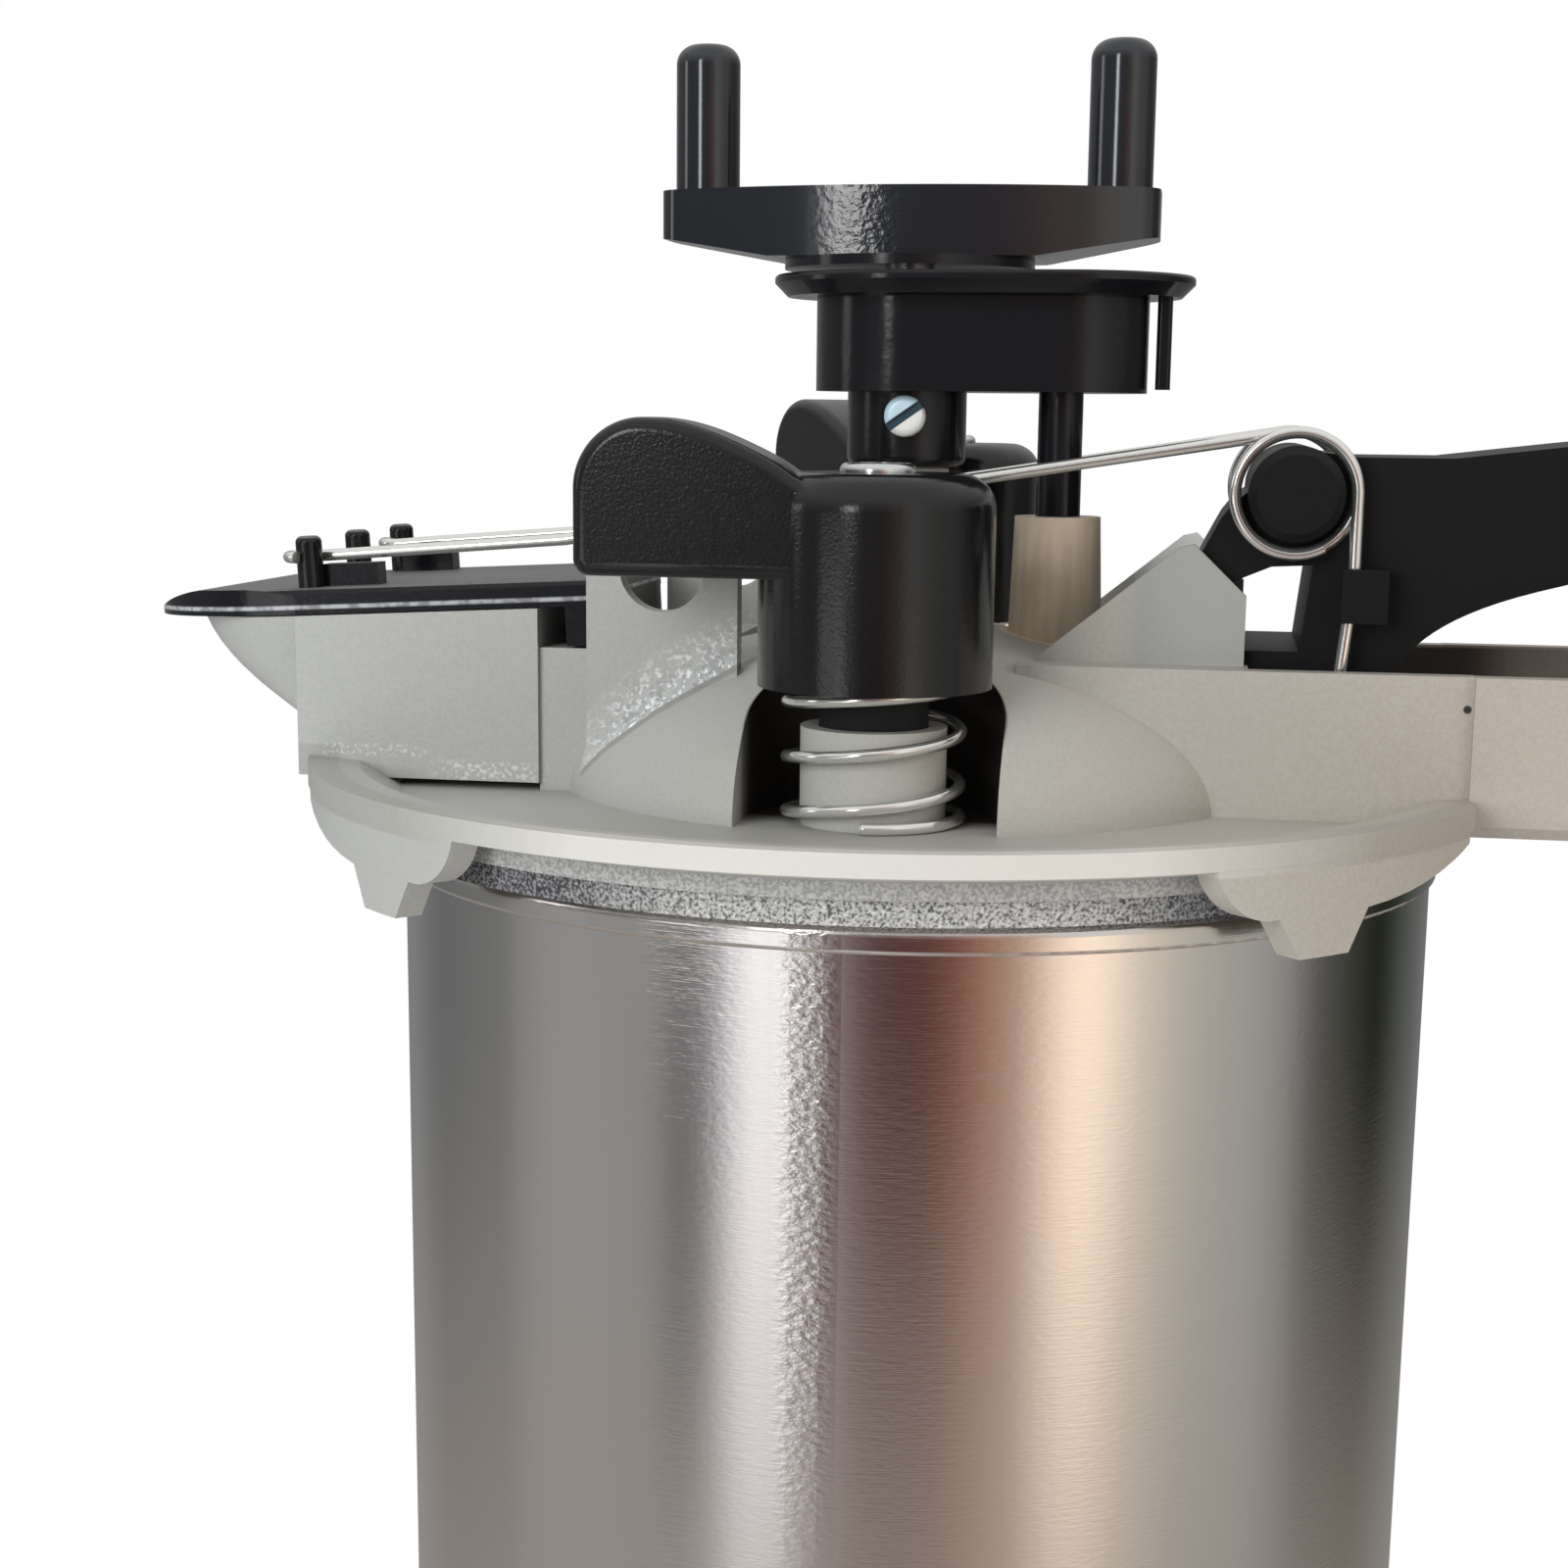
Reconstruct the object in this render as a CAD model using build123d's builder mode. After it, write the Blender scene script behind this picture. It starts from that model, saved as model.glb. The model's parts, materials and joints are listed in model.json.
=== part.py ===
from build123d import *
"""Agitator lid with a pouring spout, clamped on a one litre round tin.

Frame: millimetres, +Z up, origin on the axis of the tin at the face it
stands on.  The handle points along +X and the spout along -X.
"""
import os
from math import acos, asin, atan2, cos, degrees, hypot, pi, radians, sin, sqrt, tan

os.makedirs("parts", exist_ok=True)

# ---------------------------------------------------------------- fits
press_gap = 0.02        # radial, between parts that stay together
run_gap = 0.06          # radial, between a shaft and its bearing
slide_gap = 0.12        # between faces that slide past each other
clear_gap = 0.30        # between parts that must never touch

# ----------------------------------------------------------------- tin
tin_radius = 54.0
tin_height = 130.0
tin_wall = 0.5
seam_height = 2.8
seam_lip = 0.6
seam_width = 2.6
seam_round = 1.2
panel_depth = 3.7
mouth_radius = tin_radius - 11.0
mouth_lip = 3.6
lip_thickness = 0.9

# -------------------------------------------------------------- gasket
gasket_thickness = 2.5
gasket_inner = mouth_radius + 1.5
gasket_outer = tin_radius + 2.0

# ----------------------------------------------------- lid, main shell
rim_x = -1.4            # the lid sits a little off the axis of the tin
dome_x = -0.6
seat_z = tin_height + gasket_thickness
shell = 2.2
floor_thickness = 2.1
floor_z = seat_z + floor_thickness
rim_radius = tin_radius + 8.5
ring_radius = rim_radius - 5.3
rim_band = 2.1
rim_rise = 2.9
rim_z = floor_z + rim_rise
dome_radius = 37.0
dome_rise = 17.0

# ------------------------------------------------------------ lid lugs
lug_angle = 46.5        # from the handle and spout line
lug_wall = 2.8
lug_drop = 1.7           # below the seat plane
tongue_drop = 5.5

# -------------------------------------------------- clamps, two of them
clamp_offset = 28.5
pocket_half = 12.5
boss_radius = 7.0
boss_height = 9.3
boss_bore_depth = 5.2
hub_radius = 5.2
hub_drop = 0.8          # how far the hub of the knob stands in the boss
stud_radius = 2.5
barrel_radius = 11.15
barrel_height = 20.8
barrel_round = 3.4
barrel_lift = 12.3      # underside of the knob above the lid floor
rear_lift = 2.2         # the rear knob sits higher on its stud
recess_depth = 3.4
wing_reach = 27.4
wing_thick = 8.6
wing_face = 8.9
wing_low = 11.1
wing_high = 25.7
wing_corner = 6.6
wing_heel = 1.6
wing_edge = 1.3
front_wing_turn = 0.0
rear_wing_turn = -54.0
coil_wire = 0.62
coil_radius = 8.3
coil_turns = 2.05       # open turns between the closed ends
recess_radius = 9.5
nut_sink = 1.3
washer_thick = 0.9
nut_radius = 3.6
nut_height = 2.2
foot_thick = 3.0
foot_reach = mouth_radius + 2.9 - clamp_offset
foot_half = 5.0

# --------------------------------------------------------------- spout
spout_half = 17.2
spout_front = rim_radius + 0.2
spout_step = 36.8
spout_back = 20.0
spout_top = floor_z + 17.3
spout_tilt = 3.1        # degrees, the top of the spout rises towards the axis
spout_back_top = floor_z + 14.7
nose_length = 15.7
nose_drop = 11.7

# -------------------------------------------------- ears beside the gate
ear_inner = 17.5
ear_thick = 2.3
ear_centre = 23.3
ear_half = 7.7
ear_hole_radius = 4.3
ear_hole_z = floor_z + 23.2

# ---------------------------------------------------------------- gate
gate_half = 17.1
gate_back = 31.6
gate_thick = 2.7
gate_edge = 0.6
gate_nose = 20.6
gate_low = spout_top + slide_gap
gate_top = gate_low + gate_thick
skirt_length = 2.4
skirt_low = spout_back_top + clear_gap - 1.65
post_radius = 1.35
post_x = 0.9 - spout_front
post_height = 5.3
post_y = 14.9
rib_height = 1.6
rib_front = 2.7 - spout_front
rib_back = 13.7 - spout_front
rib_y = 13.6
rib_thick = 1.8

# -------------------------------------------------------------- handle
handle_half = 18.5
grip_half = 19.1
handle_top = floor_z + 14.4
handle_low = floor_z - 1.1
handle_root = 12.0
grip_start = rim_radius - 6.8
handle_end = rim_radius + 85.5
handle_wall = 2.4
channel_floor = floor_z + 1.8
channel_start = 34.4
slot_start = 23.0
slot_half = 12.1
slot_floor = floor_z + 12.2
grip_round = 1.2
cheek_thick = 1.7
cheek_front = 13.3
cheek_front_z = handle_top + 0.1
cheek_peak_x = 28.2
cheek_peak_z = floor_z + 26.2
cheek_back = 34.0
cheek_back_z = floor_z + 21.2

# --------------------------------------------------------- thumb lever
pivot_x = 42.0
pivot_z = floor_z + 7.4
pivot_radius = 2.0
pivot_boss = 4.5
pin_blind = 1.0
lever_foot_x = 27.0
lever_foot_z = floor_z + 12.4
lever_boss_x = 38.3
lever_boss_z = floor_z + 31.3
lever_boss_radius = 4.6
lever_boss_half = 17.6
lever_half = 11.8
lever_tip = handle_end - 34.0
lever_tip_z = floor_z + 41.4
lever_span = lever_tip - pivot_x
lever_rise = lever_tip_z - pivot_z
keeper_x = 45.0
keeper_low = floor_z + 19.0
keeper_height = 5.2
keeper_out = 15.9
keeper_thick = 2.4
keeper_skin = 0.7

# ---------------------------------------------------------------- wire
wire_radius = 0.6
arm_half = 12.8
turn_radius = 5.85
leg_half = 14.4
leg_x = lever_boss_x + turn_radius
leg_z = floor_z + 23.0
leg_end_x = 43.0
leg_end_z = floor_z + 11.8
knee_x = -35.0
knee_z = floor_z + 25.5
arm_end_z = floor_z + 23.3

# ------------------------------------------------------ drive and gears
drive_x = -1.5
gear_module = 0.4
drive_teeth = 42
driven_teeth = 38
gear_spacing = gear_module * (drive_teeth + driven_teeth) / 2
stirrer_x = drive_x + gear_spacing
gear_thick = 6.6
gear_addendum = 0.32
gear_dedendum = 0.44
gear_backlash = 0.10
gear_room = 0.16
housing_wall = 0.65
housing_low = floor_z + 40.8
housing_floor = 1.2
cover_z = floor_z + 50.3
cover_thick = 2.2
collar_radius = 6.2
collar_round = 1.2
screw_x = drive_x + 0.6
screw_z = floor_z + 38.3
screw_radius = 1.2
screw_head = 2.1
screw_head_thick = 1.4
tab_x = 24.8
tab_thick = 1.5
tab_width = 2.4
tab_low = floor_z + 41.2
cover_left = 13.9
cover_right = 13.3
collar_length = 7.8
post_outer = 4.5
drive_shaft_radius = 2.6
shaft_foot = floor_z + 31.4
shaft_top = floor_z + 58.4
post_low = floor_z + 13.4
post_top = floor_z + 40.2
fork_washer_radius = 12.9
fork_washer_thick = 1.0
fork_low = floor_z + 54.1
fork_top = floor_z + 60.9
fork_end_low = floor_z + 56.3
fork_reach = 25.5
fork_hub_half = 9.6
fork_end_half = 4.3
fork_pin_spread = 21.3
fork_pin_radius = 3.3
fork_pin_top = floor_z + 75.7

# ------------------------------------------------------------- stirrer
stirrer_radius = 2.3
stirrer_low = 12.0
tower_top = floor_z + 28.2
tower_top_radius = 4.45
tower_low_radius = 5.1
tower_low = floor_z + 10.4
bush_wall = 1.0
bush_outer = stirrer_radius + bush_wall
seal_height = 2.4
bush_length = 9.0
paddle_reach = mouth_radius - stirrer_x - 1.5
paddle_bend = 5.0
lower_paddle_z = 14.0
upper_paddle_z = tin_height * 0.57
paddle_height = 16.0
paddle_thick = 1.2
paddle_hub_radius = 5.0
pin_radius = 1.0


def save(part, label):
    """Name a finished piece and write its STEP file."""
    part.label = label
    export_step(part, f"parts/{label}.step")


def ring(outer, inner, low, height):
    """A plain tube about the Z axis."""
    with BuildPart(mode=Mode.PRIVATE) as made:
        with BuildSketch(Plane.XY.offset(low)):
            Circle(outer)
            Circle(inner, mode=Mode.SUBTRACT)
        extrude(amount=height)
    return made.part


# ================================================================= tin
seam_inner = tin_radius + seam_lip - seam_width
slot_outer = tin_radius + press_gap
slot_inner = tin_radius - tin_wall - press_gap
fold = 0.6              # the seam's folded metal over the edge of the body

with BuildPart() as tin_body:
    with BuildSketch(Plane.XY.offset(fold + press_gap)):
        Circle(tin_radius)
        Circle(tin_radius - tin_wall, mode=Mode.SUBTRACT)
    extrude(amount=tin_height - 2 * (fold + press_gap))
save(tin_body.part, "tin_body")

panel_z = tin_height - panel_depth
lip_z = panel_z - mouth_lip
with BuildPart() as tin_mouth_ring:
    with BuildSketch(Plane.XZ):
        with BuildLine():
            Polyline(
                (slot_outer, tin_height - seam_height),
                (tin_radius + seam_lip, tin_height - seam_height),
                (tin_radius + seam_lip, tin_height),
                (seam_inner, tin_height),
                (seam_inner, panel_z),
                (mouth_radius, panel_z),
                (mouth_radius, lip_z),
                (mouth_radius + lip_thickness, lip_z),
                (mouth_radius + lip_thickness, panel_z - tin_wall),
                (seam_inner + tin_wall, panel_z - tin_wall),
                (seam_inner + tin_wall, tin_height - seam_height),
                (slot_inner, tin_height - seam_height),
                (slot_inner, tin_height - fold),
                (slot_outer, tin_height - fold),
                close=True,
            )
        make_face()
    revolve(axis=Axis.Z)
    outer_edges = tin_mouth_ring.edges().filter_by(GeomType.CIRCLE).filter_by(
        lambda e: abs(e.radius - tin_radius - seam_lip) < 0.01)
    fillet(outer_edges.group_by(Axis.Z)[-1], radius=seam_round)
    fillet(outer_edges.group_by(Axis.Z)[0], radius=seam_lip * 0.7)
    lip_edges = tin_mouth_ring.edges().filter_by(lambda e: abs(e.center().Z - lip_z) < 0.01)
    fillet(lip_edges, radius=lip_thickness * 0.4)
save(tin_mouth_ring.part, "tin_mouth_ring")

with BuildPart() as tin_bottom:
    with BuildSketch(Plane.XZ):
        with BuildLine():
            Polyline(
                (slot_outer, seam_height),
                (tin_radius + seam_lip, seam_height),
                (tin_radius + seam_lip, 0),
                (seam_inner, 0),
                (seam_inner, panel_depth - tin_wall),
                (0, panel_depth - tin_wall),
                (0, panel_depth),
                (seam_inner + tin_wall, panel_depth),
                (seam_inner + tin_wall, seam_height),
                (slot_inner, seam_height),
                (slot_inner, fold),
                (slot_outer, fold),
                close=True,
            )
        make_face()
    revolve(axis=Axis.Z)
save(tin_bottom.part, "tin_bottom")

save(ring(gasket_outer, gasket_inner, tin_height, gasket_thickness).move(Location((rim_x, 0, 0))),
     "lid_gasket")

# ==================================================== shapes of the lid
def dome(radius, rise):
    """A cap of an ellipse turned about the Z axis, standing on the seat plane."""
    with BuildPart() as made:
        with BuildSketch(Plane.XZ):
            with BuildLine():
                Polyline((0, floor_z + rise), (0, seat_z), (radius, seat_z), (radius, floor_z))
                EllipticalCenterArc((0, floor_z), radius, rise, start_angle=0, arc_size=90)
            make_face()
        revolve(axis=Axis.Z)
    return made.part.move(Location((dome_x, 0, 0)))


def pocket(half, low, side):
    """The upright channel round one clamp: round towards the axis, open outwards."""
    with BuildPart() as made:
        with BuildSketch(Plane.XY.offset(low)):
            with Locations((dome_x, side * clamp_offset)):
                Circle(half)
            with Locations((dome_x, side * (clamp_offset + dome_radius + 4) / 2)):
                Rectangle(2 * half, dome_radius + 4 - clamp_offset)
        extrude(amount=dome_rise * 2)
    return made.part


def nose(start, length, half, drop):
    """The beak of the spout: half ellipses that shrink downwards along a curve."""
    with BuildPart() as made:
        for step in (0.0, 0.35, 0.7, 0.94):
            reach = length * (1 - step ** 1.5) ** (1 / 1.5)
            width = half * (1 - 0.25 * step)
            with BuildSketch(Plane.XY.offset(spout_top - step * drop)):
                with BuildLine():
                    EllipticalCenterArc((start, 0), reach, width, start_angle=90, arc_size=180)
                    Line((start, -width), (start, width))
                make_face()
        loft()
    return made.part


def block(x_low, x_high, half, z_low, z_high):
    """A box that lies evenly on both sides of the XZ plane."""
    with BuildPart() as made:
        with BuildSketch(Plane.XY.offset(z_low)):
            with Locations(((x_low + x_high) / 2, 0)):
                Rectangle(x_high - x_low, 2 * half)
        extrude(amount=z_high - z_low)
    return made.part


def drum(x, y, radius, low, high):
    """An upright cylinder."""
    with BuildPart() as made:
        with BuildSketch(Plane.XY.offset(low)):
            with Locations((x, y)):
                Circle(radius)
        extrude(amount=high - low)
    return made.part


tilt_slope = tan(radians(spout_tilt))
lug_sin = sin(radians(lug_angle))
lug_cos = cos(radians(lug_angle))
lug_tube = ring(rim_radius - 0.06, rim_radius - lug_wall, seat_z - tongue_drop - 1, tongue_drop + 6)
with BuildPart() as lug:
    with BuildSketch(Plane((rim_radius * lug_cos, -rim_radius * lug_sin, 0), (lug_sin, lug_cos, 0),
                           (lug_cos, -lug_sin, 0))):
        with BuildLine():
            Polyline((23.0, seat_z + 1.8), (23.0, rim_z - 0.8), (-11.9, rim_z - 0.8), (-11.9, seat_z + 2.9))
            ThreePointArc((-11.9, seat_z + 2.9), (-10.2, seat_z - 0.2), (-5.4, seat_z - lug_drop))
            Polyline((-5.4, seat_z - lug_drop), (-3.0, seat_z - tongue_drop), (3.0, seat_z - tongue_drop),
                     (5.4, seat_z - lug_drop))
            ThreePointArc((5.4, seat_z - lug_drop), (14.5, seat_z - 0.5), (23.0, seat_z + 1.8))
        make_face()
    extrude(amount=rim_radius * 0.2, both=True)
    add(lug_tube, mode=Mode.INTERSECT)
    mirror(about=Plane.XZ)
    mirror(about=Plane.YZ)

with BuildPart() as rim_ring:
    with BuildSketch(Plane.XZ):
        with BuildLine():
            Polyline(
                (dome_radius - shell - 2, seat_z),
                (ring_radius, seat_z),
                (ring_radius, seat_z + 1.6),
                (rim_radius, rim_z - rim_band),
                (rim_radius, rim_z),
                (ring_radius, rim_z - 0.4),
                (ring_radius - 4.2, floor_z),
                (dome_radius - shell - 2, floor_z),
                close=True,
            )
        make_face()
    revolve(axis=Axis.Z)
    # the rim stops at the step of the handle
    add(block(grip_start - rim_x, rim_radius + 1, rim_radius, seat_z - 1, rim_z + 1), mode=Mode.SUBTRACT)

with BuildPart() as grip:
    with BuildSketch(Plane.YZ.offset(grip_start)):
        with BuildLine():
            Polyline((grip_half, handle_low + grip_round), (grip_half, handle_top), (-grip_half, handle_top),
                     (-grip_half, handle_low + grip_round), (grip_round - grip_half, handle_low),
                     (grip_half - grip_round, handle_low), close=True)
        make_face()
    extrude(amount=handle_end - grip_start)
    fillet(grip.edges().filter_by(Axis.Z).group_by(Axis.X)[-1], radius=grip_half * 0.7)
    with BuildSketch(Plane.XY.offset(channel_floor)):
        with Locations(((grip_start + handle_end - handle_wall) / 2 - 8, 0)):
            RectangleRounded(handle_end - handle_wall - grip_start + 16, 2 * (grip_half - handle_wall),
                             grip_half * 0.7 - handle_wall)
    extrude(amount=handle_top, mode=Mode.SUBTRACT)

lid_forms = [
    dome(dome_radius, dome_rise),
    block(-spout_front, -spout_step, spout_half, rim_z - rim_band, spout_top + 2),
    block(-spout_step, -spout_back, spout_half - 0.6, seat_z, spout_back_top),
    block(-ear_centre - ear_half, -spout_back, ear_inner + 0.2, seat_z, spout_back_top),
    nose(-spout_front, nose_length, spout_half, nose_drop),
    block(handle_root, grip_start, handle_half, seat_z, handle_top),
    lug.part.moved(Location((rim_x, 0, 0))),
]
keep_out = [pocket(pocket_half + shell, seat_z - 1, side) for side in (-1, 1)]
hollow_forms = [
    block(-spout_front + shell, -spout_step - shell, spout_half - shell, rim_z + 0.1, spout_top + 3),
    block(-spout_step - shell - 1, -spout_back + shell, spout_half - 0.6 - shell, floor_z,
          spout_back_top - shell),
    nose(-spout_front + shell + 0.8, nose_length + 0.6, spout_half - shell, nose_drop - shell),
    block(handle_root + shell, channel_start - shell, handle_half - handle_wall, floor_z,
          slot_floor - shell),
]
clamp_pockets = [pocket(pocket_half, floor_z, side) for side in (-1, 1)]
channel_forms = [
    block(channel_start, grip_start + 8, handle_half - handle_wall, channel_floor, handle_top + 1),
    block(slot_start, channel_start + 1, slot_half, slot_floor, cheek_peak_z + 1),
]

with BuildPart() as lid_hollow:
    add(dome(dome_radius - shell, dome_rise - shell))
    for form in hollow_forms:
        add(form)
    for form in keep_out:
        add(form, mode=Mode.SUBTRACT)

# ========================================================= lid casting
with BuildPart() as lid_casting:
    # floor, seat ring and raised rim, then the raised forms
    add(rim_ring.part.moved(Location((rim_x, 0, 0))))
    for form in lid_forms:
        add(form)
    # the top of the spout slopes
    with BuildSketch(Plane.XZ):
        with BuildLine():
            Polyline((-spout_front - nose_length - 1, spout_top - tilt_slope * (nose_length + 1)),
                     (-spout_step + 0.5, spout_top + tilt_slope * (spout_front - spout_step + 0.5)),
                     (-spout_step + 0.5, spout_top + 4), (-spout_front - nose_length - 1, spout_top + 4),
                     close=True)
        make_face()
    extrude(amount=spout_half + 1, both=True, mode=Mode.SUBTRACT)
    # ears beside the gate
    for side in (-1, 1):
        with BuildSketch(Plane.XZ.offset(-side * (ear_inner + ear_thick / 2))):
            with Locations((-ear_centre, ear_hole_z)):
                Circle(ear_half)
            with Locations((-ear_centre, (seat_z + ear_hole_z) / 2)):
                Rectangle(2 * ear_half, ear_hole_z - seat_z)
        extrude(amount=ear_thick / 2, both=True)
    # cheeks beside the thumb lever
    for side in (-1, 1):
        with BuildSketch(Plane.XZ.offset(-side * (slot_half + cheek_thick / 2))):
            with BuildLine():
                Polyline(
                    (cheek_back, handle_top - 2),
                    (cheek_back, cheek_back_z),
                    (cheek_peak_x + 0.6, cheek_peak_z),
                    (cheek_peak_x - 0.8, cheek_peak_z - 0.3),
                    (cheek_front, cheek_front_z),
                    (cheek_front, handle_top - 2),
                    close=True,
                )
            make_face()
        extrude(amount=cheek_thick / 2, both=True)
    # pockets for the clamps, the hollow, the lever channel
    for form in clamp_pockets:
        add(form, mode=Mode.SUBTRACT)
    add(lid_hollow.part, mode=Mode.SUBTRACT)
    for form in channel_forms:
        add(form, mode=Mode.SUBTRACT)
    add(grip.part)
    # post for the gear housing, tower for the stirrer bush, bosses for the clamps
    with BuildSketch(Plane.XY.offset(post_low)):
        with Locations((drive_x, 0)):
            Circle(post_outer)
    extrude(amount=post_top - post_low)
    with BuildSketch(Plane.XY.offset(seat_z)):
        with Locations((dome_x, clamp_offset), (dome_x, -clamp_offset)):
            Circle(boss_radius)
    extrude(amount=floor_thickness + boss_height)
    with BuildSketch(Plane.XY.offset(tower_low)):
        with Locations((stirrer_x, 0)):
            Circle(tower_low_radius)
    extrude(amount=tower_top - tower_low, taper=degrees(atan2(tower_low_radius - tower_top_radius,
                                                              tower_top - tower_low)))
    # bores
    with BuildSketch(Plane.XY.offset(seat_z - 1)):
        with Locations((dome_x, clamp_offset), (dome_x, -clamp_offset)):
            Circle(stud_radius + run_gap)
    extrude(amount=floor_thickness + boss_height + 2, mode=Mode.SUBTRACT)
    with BuildSketch(Plane.XY.offset(floor_z + boss_height - boss_bore_depth)):
        with Locations((dome_x, clamp_offset), (dome_x, -clamp_offset)):
            Circle(hub_radius + slide_gap)
    extrude(amount=boss_bore_depth + 1, mode=Mode.SUBTRACT)
    with BuildSketch(Plane.XY.offset(shaft_foot - clear_gap)):
        with Locations((drive_x, 0)):
            Circle(drive_shaft_radius + run_gap)
    extrude(amount=post_top - shaft_foot + 1, mode=Mode.SUBTRACT)
    with BuildSketch(Plane.XY.offset(tower_low - 6)):
        with Locations((stirrer_x, 0)):
            Circle(stirrer_radius + clear_gap)
    extrude(amount=tower_top - tower_low + 8, mode=Mode.SUBTRACT)
    with BuildSketch(Plane.XY.offset(tower_top - bush_length - seal_height)):
        with Locations((stirrer_x, 0)):
            Circle(bush_outer + press_gap)
    extrude(amount=bush_length + seal_height + 1, mode=Mode.SUBTRACT)
    with BuildSketch(Plane.XZ):
        with Locations((-ear_centre, ear_hole_z)):
            Circle(ear_hole_radius)
    extrude(amount=spout_front, both=True, mode=Mode.SUBTRACT)
    with BuildSketch(Plane.XZ.offset(handle_half - pin_blind)):
        with Locations((pivot_x, pivot_z)):
            Circle(pivot_radius + press_gap)
    extrude(amount=-2 * handle_half, mode=Mode.SUBTRACT)
save(lid_casting.part, "lid_casting")

# bearing and seal of the stirrer shaft
save(ring(bush_outer, stirrer_radius + run_gap, tower_top - bush_length, bush_length)
     .move(Location((stirrer_x, 0, 0))), "shaft_bush")
save(ring(bush_outer, stirrer_radius + run_gap, tower_top - bush_length - seal_height + press_gap,
          seal_height - 2 * press_gap).move(Location((stirrer_x, 0, 0))), "shaft_seal")

# =========================================================== spout gate
gate_tip = -spout_front - gate_nose
gate_post_x = post_x + tilt_slope * (arm_end_z - gate_low)
gate_skirt = block(-gate_back - skirt_length, -gate_back, gate_half - 0.3, skirt_low, gate_low)
with BuildPart() as spout_gate:
    with BuildSketch(Plane.XY.offset(gate_low)):
        with BuildLine():
            EllipticalCenterArc((-spout_front, 0), gate_nose, gate_half, start_angle=90, arc_size=180)
            Polyline((-spout_front, -gate_half), (-gate_back, -gate_half), (-gate_back, gate_half),
                     (-spout_front, gate_half))
        make_face()
    extrude(amount=gate_thick)
    with BuildSketch(Plane.XZ):
        with BuildLine():
            ThreePointArc((gate_tip - 1, gate_low - 0.5), (gate_tip + 5.2, gate_low + 2.0),
                          (gate_tip + 15, gate_top))
            Polyline((gate_tip + 15, gate_top), (-gate_back, gate_top), (-gate_back, gate_low - 0.5),
                     (gate_tip - 1, gate_low - 0.5))
        make_face()
    extrude(amount=gate_half, both=True, mode=Mode.INTERSECT)
    # the long top edges are eased
    with BuildSketch(Plane.YZ.offset(gate_tip - 1)):
        with BuildLine():
            Polyline((-gate_half - 0.5, gate_low - 0.5), (-gate_half - 0.5, gate_top - gate_edge - 1.2),
                     (0.3 * gate_edge - gate_half, gate_top - 0.3 * gate_edge),
                     (1.7 * gate_edge - gate_half, gate_top + 0.3 * gate_edge),
                     (gate_half - 1.7 * gate_edge, gate_top + 0.3 * gate_edge),
                     (gate_half - 0.3 * gate_edge, gate_top - 0.3 * gate_edge),
                     (gate_half + 0.5, gate_top - gate_edge - 1.2), (gate_half + 0.5, gate_low - 0.5),
                     close=True)
        make_face()
    extrude(amount=-gate_back - gate_tip + 2, mode=Mode.INTERSECT)
    add(gate_skirt)
    # guide ribs inside the spout and the low pads under the wire
    for side in (-1, 1):
        with BuildSketch(Plane.XY.offset(gate_low - rib_height)):
            with Locations(((rib_front + rib_back) / 2, side * rib_y)):
                Rectangle(rib_back - rib_front, rib_thick)
        extrude(amount=rib_height)
        with BuildSketch(Plane.XY.offset(gate_top - 0.4)):
            with Locations((gate_post_x + 4.0, side * arm_half)):
                Rectangle(6.0, 2.6)
        extrude(amount=arm_end_z - wire_radius - clear_gap - gate_top + 0.4)
    with BuildSketch(Plane.XY.offset(gate_top - 1.0)):
        with Locations((gate_post_x, -post_y), (gate_post_x, 0), (gate_post_x, post_y)):
            Circle(post_radius)
    extrude(amount=post_height + 1.0)
    post_tops = spout_gate.edges().filter_by(GeomType.CIRCLE).group_by(Axis.Z)[-1]
    fillet(post_tops, radius=post_radius * 0.5)
gate_turn = Location((-spout_front, 0, gate_low), (0, -spout_tilt, 0))
save(gate_turn * Location((spout_front, 0, -gate_low)) * spout_gate.part, "spout_gate")

# =================================================== thumb lever and pin
def lever_point(along, up):
    """A point of the lever's side view, as shares of its span and its rise from the pivot."""
    return (pivot_x + along * lever_span, pivot_z + up * lever_rise)


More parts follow.
